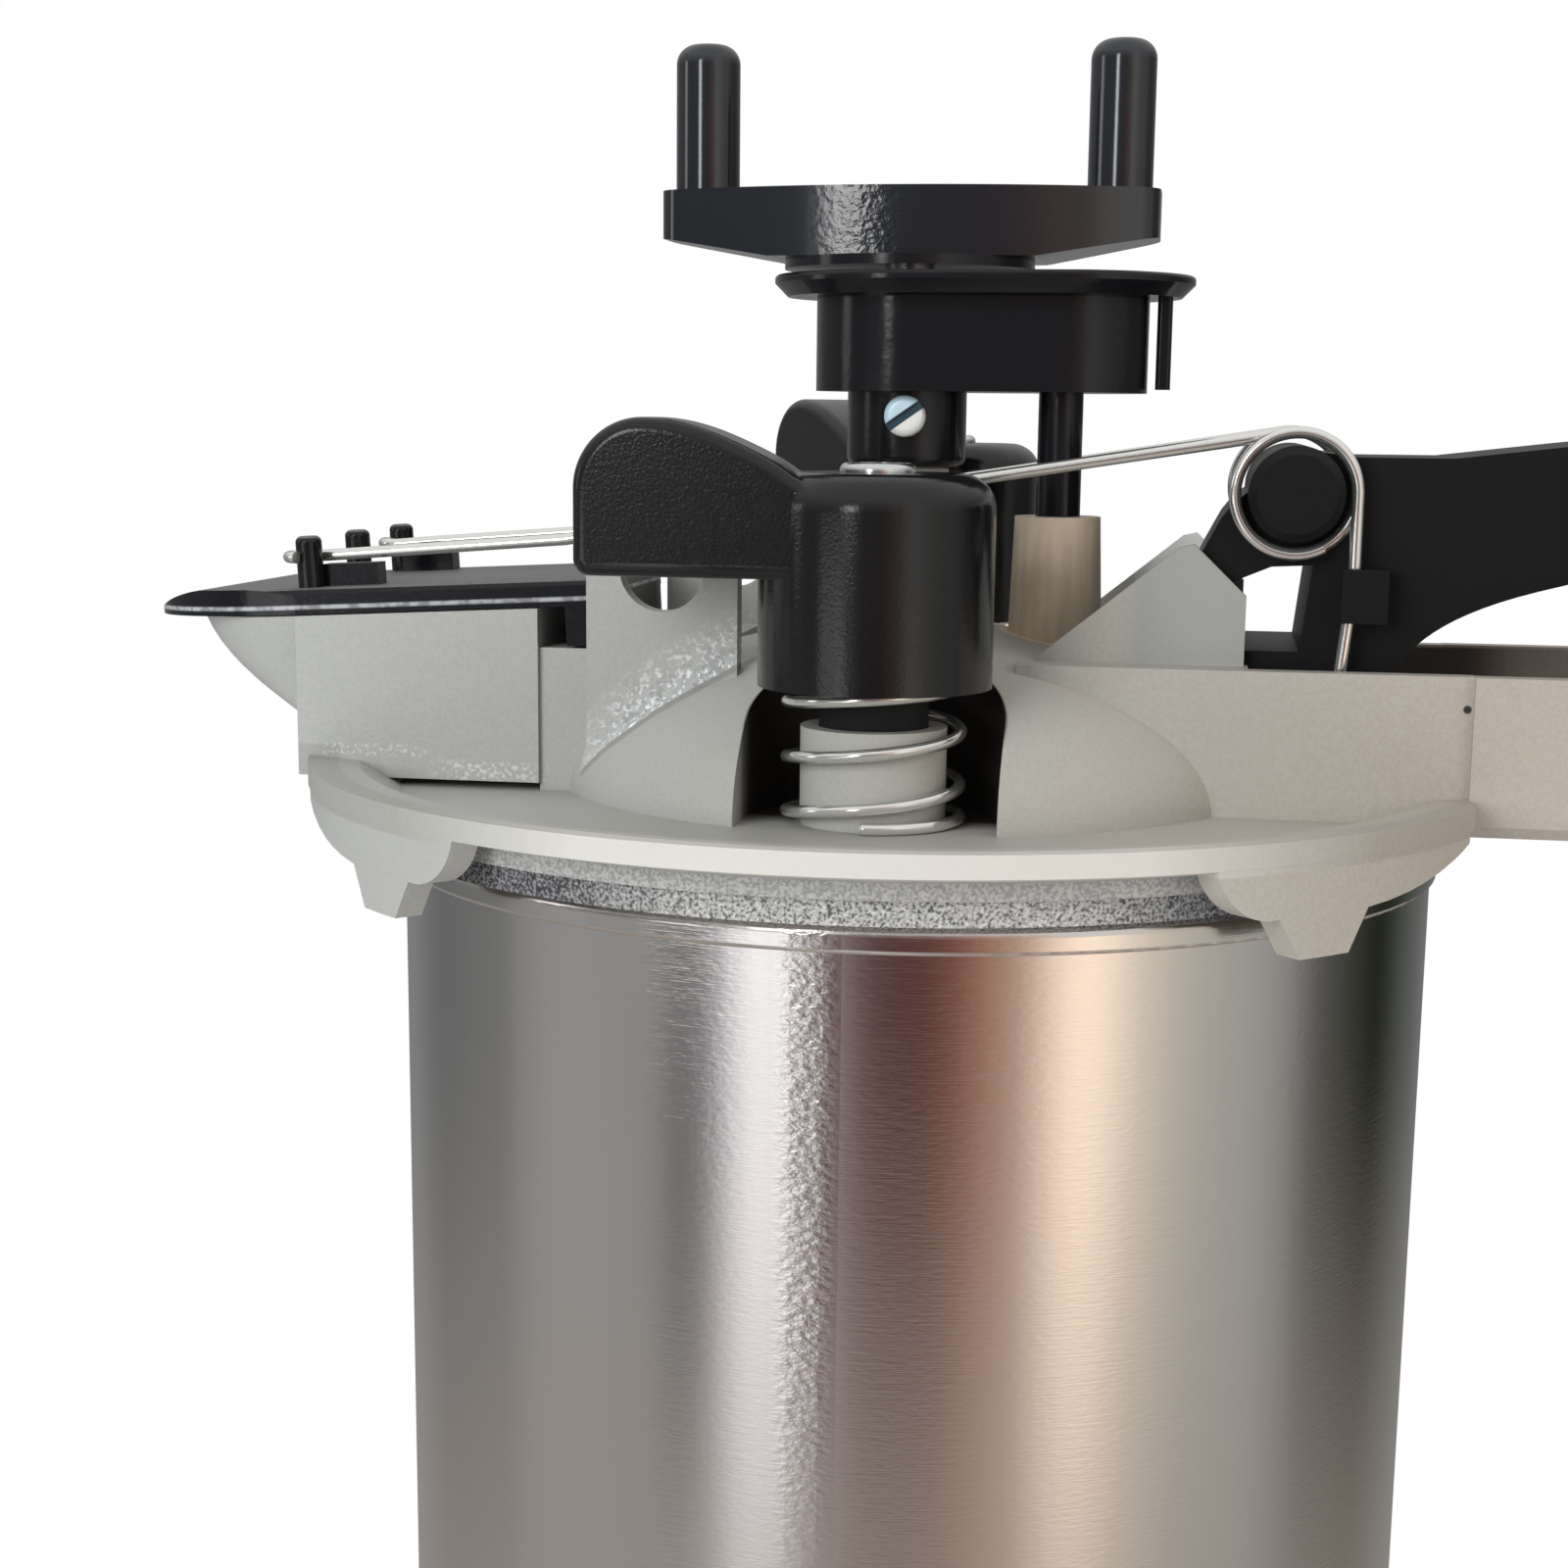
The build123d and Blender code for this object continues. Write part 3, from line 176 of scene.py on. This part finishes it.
class Finish(Shader):
    """A Principled material; more sets its other inputs by name."""

    def __init__(self, name, colour, roughness, metallic=0.0, **more):
        self.material = bpy.data.materials.new(name)
        self.material.use_nodes = True
        super().__init__(self.material.node_tree)
        self.principled = self.tree.nodes["Principled BSDF"]
        self.set("Base Color", (*colour, 1))
        self.set("Roughness", roughness)
        self.set("Metallic", metallic)
        for key, value in more.items():
            self.set(key.replace("_", " "), value)

    def set(self, name, value):
        """Sets or links one input of the material."""
        self.feed(self.principled.inputs[name], value)

    def place(self, stretch=(1, 1, 1)):
        """Object coordinates in millimetres, stretched."""
        spot = self.node("ShaderNodeTexCoord", out="Object")
        scale = tuple(1000 * part for part in stretch)
        return self.node("ShaderNodeMapping", sockets={"Vector": spot, "Scale": scale})

    def noise(self, scale, detail=2.0, stretch=(1, 1, 1)):
        """Smooth noise, with this many features per millimetre."""
        return self.node("ShaderNodeTexNoise", sockets={"Vector": self.place(stretch), "Scale": scale,
                                                        "Detail": detail})

    def bump(self, height, depth):
        """Raises the surface by height times depth, in millimetres."""
        self.set("Normal", self.node("ShaderNodeBump", sockets={"Height": height, "Distance": depth / 1000,
                                                                "Strength": 1.0}))


def between(value, low, high, soft=0.3):
    """1 between two limits, 0 outside, with soft edges this wide."""
    rise = ((value - (low - soft)) / soft).limited()
    fall = (((high + soft) - value) / soft).limited()
    return rise * fall


def distance(across, along):
    """Square root of the sum of two squares."""
    squares = across * across + along * along
    return squares.shader.maths("SQRT", squares)


def curve(value, points):
    """Height of a line through points, straight from one to the next."""
    start, end = points[0][0], points[-1][0]
    low, high = points[0][1], points[-1][1]
    stops = [((at - start) / (end - start), (height - low) / (high - low)) for at, height in points]
    return ((value - start) / (end - start)).ramp(stops, "LINEAR") * (high - low) + low


# ---------------------------------------------------------------- cast lid
def rim_tone(cast, tone, x, side, z):
    """The outer band of the rim, with a painted highlight in front and painted shade towards both ends,
    and the gritty seat in painted shade.
    """
    y = cast.maths("ABSOLUTE", side)
    radius = distance(x - lid_x, side)
    rim = between(radius, *rim_radii) * between(z, *rim_heights, 0.2)
    front_part = between(x, -22, 26, 20.0)
    # painted highlight on the front of the rim band
    tone = cast.blend(rim * front_part * 0.65, tone, (0.60, 0.57, 0.54, 1))
    off_handle = (between(x, -70.0, 20.0, 3.0) + between(y, handle_half, 70.0, 0.2)).limited()
    # painted shade towards both ends of the rim band, away from the handle
    tone = cast.blend(rim * off_handle * (1.0 - front_part) * 0.35, tone, (0.22, 0.205, 0.18, 1))
    # painted shade on the seat under the rim band, speckled with a grit
    seat = between(radius, *seat_radii) * between(z, *seat_heights, 0.1)
    shaded_grit = cast.noise(3.0).ramp([(0.38, (0.22, 0.22, 0.22)), (0.62, (0.42, 0.41, 0.40))])
    return cast.blend(seat * 0.8, tone, shaded_grit)


def ear_tone(cast, tone, x, y, z):
    """The ears flare outwards above a curved line; the flare is cast rough and gets a painted highlight.
    Gives the tone, and where the flare is rough."""
    above = z - curve(x, ear_line)
    beside = between(x, *ear_x, 0.5) * between(y, *ear_y)
    near_line = (1.0 - above * 0.16).limited() * (above / 0.18).limited() * beside
    # painted highlight on the flare just above the line
    tone = cast.blend(near_line * 0.45, tone, (0.56, 0.565, 0.565, 1))
    # painted shadow in a thin band under the line
    shadow_under_line = between(above, -0.42, -0.02, 0.25) * beside
    tone = cast.blend(shadow_under_line * 0.45, tone, (0.13, 0.13, 0.125, 1))
    # painted glints: pale speckles on the flare, most on its right part
    glint_speckle = cast.noise(2.1).ramp([(0.50, 0.0), (0.62, 1.0)])
    right_part = between(x, -27.0, -13.0, 3.0)
    tone = cast.blend(glint_speckle * near_line * (right_part * 0.6 + 0.3), tone, (0.95, 0.96, 0.98, 1))
    dark_grain = cast.noise(1.3).ramp([(0.40, 1.0), (0.55, 0.0)])
    tone = cast.blend(dark_grain * near_line * right_part * 0.5, tone, (0.17, 0.175, 0.18, 1))
    # the same painted glints along the foot of the spout box, in two lengths
    glinting_hem = (between(x, -46.0, -38.5, 3.0) * between(z, 135.6, 137.0, 0.6) * between(y, 16.5, 30.0)
           + between(x, -59.5, -49.5, 1.5) * between(z, 137.9, 138.7, 0.4) * between(y, 12.0, 30.0) * 0.8)
    tone = cast.blend(glint_speckle * glinting_hem * 0.35, tone, (0.85, 0.85, 0.85, 1))
    return tone, near_line * glint_speckle


def handle_tone(cast, tone, x, side, z):
    """Painted shade on the cheeks beside the lever, painted warm light on the tower behind them, painted
    shade in the clamps' pockets, and painted shade in the trough and one small pit of the handle."""
    y = cast.maths("ABSOLUTE", side)
    # painted shade: the cheeks are painted a darker grey
    cheek = between(x, 24.0, 60.0, 3.0) * between(z, *cheek_heights) * between(y, 12.0, 18.0)
    tone = cast.blend(cheek * 0.85, tone, (0.262, 0.268, 0.258, 1))
    # painted light on the inner face of the far cheek, which lies in shade
    far_inner_lit = between(side, 11.0, 13.6, 0.1) * between(x, 15.0, 60.0) * between(z, *cheek_heights)
    tone = cast.blend(far_inner_lit, tone, (0.85, 0.85, 0.82, 1))
    # painted warm light on the tower, with upright streaks
    tower = between(distance(x - tower_x, y), 0.0, tower_radius) * between(z, *tower_heights, 1.0)
    warm_lit_streak = cast.noise(0.9, 2.0, (1.0, 1.0, 0.12)).ramp([(0.35, (0.56, 0.45, 0.33)),
                                                           (0.65, (0.64, 0.52, 0.39))])
    tone = cast.blend(tower, tone, warm_lit_streak)
    around_clamp = distance(x - clamp_x, y - clamp_y)
    # painted shade in the pockets round the clamps, nearly black
    pocket_shade = between(around_clamp, *pocket_radii, 0.2) * between(y, 0.0, pocket_depth, 5.0)
    tone = cast.blend(pocket_shade, tone, (0.022, 0.018, 0.015, 1))
    # painted shade inside the trough's walls and its rounded end; the painted shade is lighter in its far
    # part
    past_x, past_y = (cast.maths("MAXIMUM", value - edge, 0.0)
                      for value, edge in zip((x, y), trough_corner))
    trough = (between(distance(past_x, past_y), -1.0, trough_radius, 0.2) * between(x, *trough_x)
              * between(z, *trough_heights))
    tone = cast.blend(trough * ((x - 57.7) / 7.1).ramp([(0.0, 1.0), (1.0, 0.45)]), tone,
                      (0.060, 0.048, 0.039, 1))
    # painted shade: a small dark dot where a pit in the handle's near side is
    pit = between(distance(x - pit_x, z - pit_z), -1.0, pit_radius, 0.15) * between(side, -20.0, -17.0)
    return cast.blend(pit, tone, (0.02, 0.02, 0.02, 1))


def cast_metal():
    """Grey with a painted tint of the light, greenish on the spout side and warmer towards the handle;
    flecked, then place by place.
    """
    cast = Finish("casting", (0.40, 0.38, 0.34), 0.5)
    x, side, z = cast.axes(cast.place())
    # painted tint of the light: cool greenish towards the spout, warm and a little darker towards the
    # handle
    tone = ((x + 60.0) / 120.0).ramp([(0.0, (0.332, 0.335, 0.325)), (0.55, (0.352, 0.342, 0.315)),
                                      (1.0, (0.352, 0.308, 0.262))], "LINEAR")
    fleck = cast.noise(2.4, 1.5).ramp([(0.40, 0.0), (0.62, 1.0)])
    tone = cast.blend(fleck * 0.22, tone, (0.42, 0.41, 0.385, 1))
    tone = rim_tone(cast, tone, x, side, z)
    tone, flare = ear_tone(cast, tone, x, cast.maths("ABSOLUTE", side), z)
    cast.set("Base Color", handle_tone(cast, tone, x, side, z))
    cast.bump(cast.noise(1.6, 3.0) + flare * 1.5, 0.05)
    return cast.material


# ----------------------------------------------------------- black plastics
def plastic(name, gloss, level, colour=black):
    """Black plastic, with its roughness and its reflection level."""
    return Finish(name, colour, gloss, Specular_IOR_Level=level)


def plain_black():
    """Glossy black with a fine grain."""
    made = plastic("black_plastic", 0.16, 0.36)
    made.bump(made.noise(1.2), 0.015)
    return made.material


def fork_black():
    """Bluish and glossy, wrinkled beside the middle of the fork."""
    made = plastic("fork_plastic", 0.12, 0.9, (0.005, 0.0065, 0.010))
    wrinkled = between(made.axes(made.place())[0], -5.5, -4.5, 5.0)
    made.bump(made.noise(1.3, 2.5) * (wrinkled * 0.9 + 0.1), 0.055)
    return made.material


def knob_black():
    """Glossy, and dull below the foot of the knob's barrel."""
    made = plastic("knob_plastic", 0.16, 0.5, (0.005, 0.005, 0.0055))
    height = made.axes(made.place())[2]
    made.set("Roughness", between(height, 100.0, knob_foot_z, 0.2) * 0.6 + 0.16)
    made.bump(made.noise(3.0), 0.018)
    return made.material


def lever_black():
    """Duller black, finely grained."""
    made = plastic("lever_plastic", 0.42, 0.16, (0.007, 0.007, 0.0075))
    made.bump(made.noise(2.0), 0.02)
    return made.material


def gate_black():
    """Painted grey on top as a painted reflection, and duller there; black below, with a painted highlight
    along the sloping edge.
    """
    made = plastic("gate_plastic", 0.15, 0.45)
    facing_up = between(made.axes(made.node("ShaderNodeNewGeometry", out="Normal"))[2], 0.8, 2.0, 0.2)
    made.set("Roughness", facing_up * 0.30 + 0.15)
    x, _, z = made.axes(made.place())
    # painted highlight: a thin pale line along the sloping edge, broken by noise
    along_edge = z - (x - gate_tip_x) * gate_slope
    edge_highlight = between(along_edge, 152.66, 152.88, 0.18) * made.noise(0.8).ramp([(0.36, 0.5), (0.60, 1.0)])
    edge = made.blend(edge_highlight * 0.8, (0.0045, 0.0045, 0.006, 1), (0.46, 0.47, 0.50, 1))
    # painted reflection: the faces turned upwards are painted a lighter grey
    top = made.noise(1.5).ramp([(0.3, 0.085), (0.7, 0.11)])
    made.set("Base Color", made.blend(facing_up, edge, top))
    made.bump(made.noise(1.2), 0.02)
    return made.material


# -------------------------------------------------- metals, foam and tinplate
def spring_wire():
    """Bright drawn wire, very slightly uneven."""
    made = Finish("wire", (0.88, 0.87, 0.84), 0.15, 0.92)
    made.bump(made.noise(0.7, 1.0), 0.012)
    return made.material


def slotted_screw():
    """Zinc painted pale as a painted reflection, grey on one side and bluish on the other, with painted
    shade in the slot across the head.
    """
    made = Finish("zinc_painted_reflection", (0.80, 0.84, 0.87), 0.3, 0.15)
    x, _, z = made.axes(made.place())
    across = (x - screw_x) * -math.sin(slot_turn) + (z - screw_z) * math.cos(slot_turn)
    # painted reflection across the head: grey on one side of the slot, bluish on the other
    reflection_tint = across.ramp([(0.0, (0.74, 0.74, 0.72)), (0.6, (0.50, 0.66, 0.75))])
    # painted shade in the slot
    slot = between(made.maths("ABSOLUTE", across), -1.0, slot_half, 0.1)
    made.set("Base Color", made.blend(slot, reflection_tint, (0.02, 0.05, 0.07, 1)))
    return made.material


def foam():
    """Open grey cells, paler in front as painted light and darker towards the sides as painted shade."""
    made = Finish("gasket", (0.05, 0.05, 0.05), 0.85)
    grain = made.noise(3.4, 3.0)
    dark = grain.ramp([(0.40, (0.030, 0.030, 0.033)), (0.66, (0.24, 0.24, 0.25))])
    pale = grain.ramp([(0.34, (0.08, 0.08, 0.08)), (0.52, (0.36, 0.35, 0.34)), (0.7, (0.54, 0.53, 0.51))])
    # painted light and shade: pale cells in front, dark cells towards both sides
    cells = made.blend(between(made.axes(made.place())[0], -12.0, 20.0, 14.0), dark, pale)
    made.set("Base Color", cells)
    made.bump(cells, 0.08)
    return made.material


def rolled_tin():
    """Fine hair lines round the tin, rolled waves and one rougher patch, strongest under the ring."""
    made = Finish("tinplate", (0.765, 0.725, 0.69), 0.17, 1.0, Anisotropic=0.5)
    x, _, z = made.axes(made.place())
    hair = made.noise(1.0, 3.0, (0.15, 0.15, 9.0))
    grain = made.noise(1.6, 2.0, (0.6, 0.6, 1.6))
    waves = (made.noise(1.2, 2.0, (0.8, 0.8, 1.6)) * between(x, -4.2, -1.2, 1.6)
             * between(z, 92.0, 122.0, 30.0))
    patch = (made.noise(1.1, 2.0, (1.0, 1.0, 1.3)) * between(x, -20.0, -10.0, 4.0)
             * between(z, 110.0, 124.0, 14.0))
    made.bump(hair + grain * 1.1 + waves * 11.0 + patch * 1.6, 0.008)
    return made.material


finish = {
    "casting": cast_metal(),
    "black_plastic": plain_black(),
    "pale_plastic": Finish("pale_plastic", (0.62, 0.60, 0.55), 0.5).material,
    "steel": Finish("steel", (0.55, 0.55, 0.55), 0.25, 1.0).material,
    "zinc": Finish("zinc", (0.78, 0.79, 0.80), 0.2, 1.0).material,
    "wire": spring_wire(),
    "rubber": Finish("rubber", (0.02, 0.02, 0.02), 0.7).material,
    "gasket": foam(),
    "tinplate": rolled_tin(),
}
knob_finish = knob_black()
own_finish = {"drive_fork": fork_black(), "thumb_lever": lever_black(), "spout_gate": gate_black(),
              "front_clamp_knob": knob_finish, "rear_clamp_knob": knob_finish,
              "housing_clamp_screw": slotted_screw()}
for part in frame["record"]["subparts"]:
    mesh = nodes[part["node"]].data
    mesh.materials.clear()
    mesh.materials.append(own_finish.get(part["node"], finish[part["material_slot"]]))


# ------------------------------------------------------ new pieces, in metres
def new_piece(name, mesh, body, replaced):
    """Puts a mesh in the scene as a piece that rides on a body, in place of a node."""
    piece = bpy.data.objects.new(name, mesh)
    bpy.context.scene.collection.objects.link(piece)
    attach(piece, body)
    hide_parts(replaced)
    return piece


def clamp_spring(end):
    """A clamp spring as a round wire carried along a rising circle.

    The wire's middle goes round at one radius while its height follows a table of turns: flat for
    three quarters of a turn on the lid, then open turns, then a closed turn under the washer.  A
    point is the middle plus the wire's radius times cos(b) outwards and sin(b) upwards.
    """
    old = end + "_clamp_spring"
    low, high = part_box(old)
    middle_x, middle_y, height = (low[0] + high[0]) / 2, (low[1] + high[1]) / 2, high[2] - low[2]
    wire_radius, inset, travel = 0.00060, 0.00002, 0.003
    rings, sides, smooth = 560, 14, 14
    coil_radius = (high[0] - low[0]) / 2 - wire_radius - inset
    turns = (0.0, 0.72, 1.0, 1.75, 2.0, 2.75, 3.0, 3.3, 3.85)
    shares = (0.0, 0.008, 0.134, 0.408, 0.504, 0.794, 0.885, 0.947, 1.0)
    turn = np.linspace(turns[0], turns[-1], rings)
    window = 2 * smooth + 1
    rise = np.convolve(np.pad(np.interp(turn, turns, shares), smooth, mode="edge"),
                       np.ones(window) / window, mode="valid")
    angle = (turn - 0.25) * 2 * math.pi
    outward = np.stack([np.cos(angle), np.sin(angle), np.zeros(rings)], axis=-1)
    middle = outward * coil_radius + (middle_x, middle_y, low[2] + wire_radius)
    middle[:, 2] += rise * (height - 2 * wire_radius)
    around = np.arange(sides) * 2 * math.pi / sides
    points = (middle[:, None, :] + wire_radius * np.cos(around)[None, :, None] * outward[:, None, :]
              + wire_radius * np.sin(around)[None, :, None] * np.array((0.0, 0.0, 1.0)))
    row, column = np.meshgrid(np.arange(rings - 1) * sides, np.arange(sides), indexing="ij")
    after = (column + 1) % sides
    corners = [row + column, row + sides + column, row + sides + after, row + after]
    faces = np.stack(corners, axis=-1).reshape(-1, 4).tolist()
    # the two flat ends
    faces.append(list(range(sides)))
    faces.append([(rings - 1) * sides + k for k in reversed(range(sides))])
    mesh = bpy.data.meshes.new(end + "_coil")
    mesh.from_pydata(points.reshape(-1, 3).tolist(), [], faces)
    mesh.shade_smooth()
    mesh.materials.append(finish["wire"])
    piece = new_piece(end + "_coil", mesh, "tin_and_lid", old)
    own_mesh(piece)


def short_knob(end, edge):
    """The clamp knob with the lower edge of its barrel raised: each point near the edge's height
    and further out than the bore moves up by the same step."""
    bore_reach, near, step = 0.0060, 0.0004, 0.0008
    old = end + "_clamp_knob"
    mesh = nodes[old].data.copy()
    work = bmesh.new()
    work.from_mesh(mesh)
    bmesh.ops.remove_doubles(work, verts=work.verts, dist=1e-7)
    work.to_mesh(mesh)
    work.free()
    points = np.empty(len(mesh.vertices) * 3)
    mesh.vertices.foreach_get("co", points)
    points = points.reshape(-1, 3)
    reach = np.hypot(points[:, 0] - clamp_x / 1000, np.abs(points[:, 1]) - clamp_y / 1000)
    points[(reach > bore_reach) & (np.abs(points[:, 2] - edge) < near), 2] += step
    mesh.vertices.foreach_set("co", points.ravel())
    mesh.materials.clear()
    mesh.materials.append(knob_finish)
    new_piece(end + "_knob", mesh, end + "_turn", old)


barrel_edge, rear_lift = 0.1469, 0.0022
clamp_spring("front")
short_knob("front", barrel_edge)
clamp_spring("rear")
short_knob("rear", barrel_edge + rear_lift)


# ------------------------------------------------------------------ studio
def area_light(name, place, aim, size, watts, colour=(1, 1, 1)):
    """A soft square light at one point, aimed at another."""
    data = bpy.data.lights.new(name, "AREA")
    data.shape = "RECTANGLE"
    data.size = size
    data.size_y = size
    data.energy = watts
    data.color = colour
    made = bpy.data.objects.new(name, data)
    bpy.context.scene.collection.objects.link(made)
    made.location = place
    made.rotation_euler = (Vector(aim) - Vector(place)).to_track_quat("-Z", "Y").to_euler()
    made.visible_glossy = False


area_light("key", (-0.30, -0.60, 0.34), (0, 0, 0.13), 0.35, 3.6, (0.96, 1.0, 1.0))
area_light("fill", (0.60, -0.30, 0.30), (0, 0, 0.14), 0.4, 1.5, (1.0, 0.92, 0.84))
area_light("top", (-0.05, 0.05, 0.8), (0, 0, 0.14), 0.5, 1.8)

# bright and dark screens round the object, by compass direction in degrees
screens = [
    (-180, (0.29, 0.29, 0.29)), (-170, (0.34, 0.34, 0.34)), (-160, (0.37, 0.37, 0.37)),
    (-144, (0.32, 0.32, 0.32)), (-130, (0.37, 0.37, 0.37)), (-125, (0.42, 0.42, 0.43)),
    (-119, (1.15, 1.14, 1.20)), (-111, (1.22, 1.23, 1.28)), (-105, (0.42, 0.41, 0.42)),
    (-98, (0.28, 0.23, 0.23)), (-91, (0.20, 0.145, 0.14)), (-79, (0.20, 0.145, 0.14)),
    (-72, (0.32, 0.19, 0.16)), (-66, (0.48, 0.32, 0.26)), (-60, (0.48, 0.36, 0.30)),
    (-55, (0.87, 0.70, 0.59)), (-48, (1.30, 1.09, 0.92)), (-42, (1.16, 0.97, 0.82)),
    (-35, (0.72, 0.66, 0.57)), (-21, (0.48, 0.47, 0.43)), (-5, (0.40, 0.40, 0.39)),
    (4, (0.33, 0.33, 0.32)), (13, (0.155, 0.15, 0.14)), (24, (0.12, 0.115, 0.105)),
    (38, (0.080, 0.077, 0.062)), (54, (0.16, 0.16, 0.15)), (80, (0.25, 0.25, 0.25)),
    (130, (0.27, 0.27, 0.27)), (150, (0.20, 0.20, 0.20)), (170, (0.23, 0.23, 0.23))]
# the gaps between them are darker higher up, by this depth
gaps = [(-140, 0.0), (-132, 0.10), (-121, 0.22), (-116, 0.0), (-104, 0.0), (-96, 0.07), (-62, 0.07),
        (-52, 0.0)]
# upright lamps: west and east edge, low and high edge in degrees, and power
lamps = [(-113, -104, 2.5, 18, 6.0), (-138, -113, -8, -3.5, 1.5), (-137, -126, -24, -10, -0.17),
         (-172, -161, 0, 14, 1.6)]


def dimmed(angle, colour):
    """A screen's colour near eye level, where the bright screens don't reach."""
    limit = 0.18 if angle < -90 else 0.8
    return tuple(min(part, limit) for part in colour)


def position(angle):
    """A compass direction in degrees as a share of the full turn."""
    return angle / 360 + 0.5


def upright_lamp(turn, up, west, east, low, high, power):
    """A bright strip: 1 between two directions times 1 between two heights, times its power."""
    edge, low_edge, high_edge = 1.2 / 360, 0.006, 0.02
    start, end = position(west), position(east)
    across = turn.ramp([(start - edge, 0.0), (start + edge, 1.0), (end - edge, 1.0), (end + edge, 0.0)],
                       "LINEAR")
    foot, head = ((math.sin(math.radians(height)) + 1) / 2 for height in (low, high))
    along = (up * 0.5 + 0.5).ramp([(foot - low_edge, 0.0), (foot + low_edge, 1.0), (head, 1.0),
                                   (head + high_edge, 0.0)], "LINEAR")
    return across * along * power


def light_world():
    """White to the camera, soft grey to dull surfaces, and screens and lamps to glossy ones."""
    world = bpy.data.worlds.new("studio")
    bpy.context.scene.world = world
    world.use_nodes = True
    sky = Shader(world.node_tree)
    sky.tree.nodes.clear()
    east, north, up = sky.axes(sky.node("ShaderNodeTexCoord", out="Generated"))
    turn = sky.maths("ARCTAN2", north, east) / (2 * math.pi) + 0.5
    bands = turn.ramp([(position(angle), colour) for angle, colour in screens], "LINEAR")
    # the screens fade towards the floor
    fade = ((-0.322 - up) * 4.0).limited(-0.26, 0.7)
    bands = sky.blend(fade, bands, (0.39, 0.355, 0.33, 1), clamp_factor=False)
    shade = (turn.ramp([(position(angle), depth) for angle, depth in gaps], "LINEAR")
             * ((up + 0.40) / 0.15).limited())
    bands = sky.blend(1.0, bands, shade, blend_type="SUBTRACT")
    near_eye = turn.ramp([(position(angle), dimmed(angle, colour)) for angle, colour in screens], "LINEAR")
    bands = sky.blend(((up + 0.15) / 0.07).limited(), bands, near_eye)
    mixed = sky.blend((up * 1.6 - 0.1).limited(), bands, (0.75, 0.75, 0.75, 1))
    first, *others = (upright_lamp(turn, up, *lamp) for lamp in lamps)
    mixed = sky.blend(1.0, mixed, sum(others, first), blend_type="ADD")

    def background(colour, strength=1.0):
        return sky.node("ShaderNodeBackground", sockets={"Color": colour, "Strength": strength})

    lit = sky.mix_shaders(sky.node("ShaderNodeLightPath", out="Is Glossy Ray"),
                          background((0.9, 0.9, 0.9, 1), 0.55), background(mixed))
    seen = sky.mix_shaders(sky.node("ShaderNodeLightPath", out="Is Camera Ray"), lit,
                           background((1, 1, 1, 1)))
    sky.feed(sky.tree.nodes.new("ShaderNodeOutputWorld").inputs["Surface"], seen)


def pale_floor(half=3.0):
    """A wide floor under the tin, white to the camera."""
    mesh = bpy.data.meshes.new("floor")
    mesh.from_pydata([(-half, -half, 0), (half, -half, 0), (half, half, 0), (-half, half, 0)], [],
                     [(0, 1, 2, 3)])
    floor = bpy.data.objects.new("floor", mesh)
    bpy.context.scene.collection.objects.link(floor)
    floor.visible_glossy = False
    matt = Finish("floor", (0.9, 0.9, 0.9), 0.8)
    glow = matt.node("ShaderNodeEmission", sockets={"Color": (1, 1, 1, 1), "Strength": 1.0})
    seen = matt.mix_shaders(matt.node("ShaderNodeLightPath", out="Is Camera Ray"),
                            Value(matt, matt.principled.outputs[0]), glow)
    matt.feed(matt.tree.nodes["Material Output"].inputs["Surface"], seen)
    mesh.materials.append(matt.material)


light_world()
pale_floor()

# ------------------------------------------------------------------ camera
lens = bpy.data.cameras.new("view")
lens.sensor_width = 36.0
lens.lens = 56.25
lens.shift_y = 0.0538
lens.clip_start = 0.01
view = bpy.data.objects.new("view", lens)
bpy.context.scene.collection.objects.link(view)
standpoint = (0.03048, -0.25873, 0.1729)
heading, tilt, roll = (math.radians(angle) for angle in (9.765, -10.487, 0.589))
view.matrix_world = (Matrix.Translation(standpoint) @ Matrix.Rotation(heading, 4, "Z")
                     @ Matrix.Rotation(math.pi / 2 + tilt, 4, "X") @ Matrix.Rotation(roll, 4, "Z"))
bpy.context.scene.camera = view
bpy.context.scene.view_settings.view_transform = "Standard"
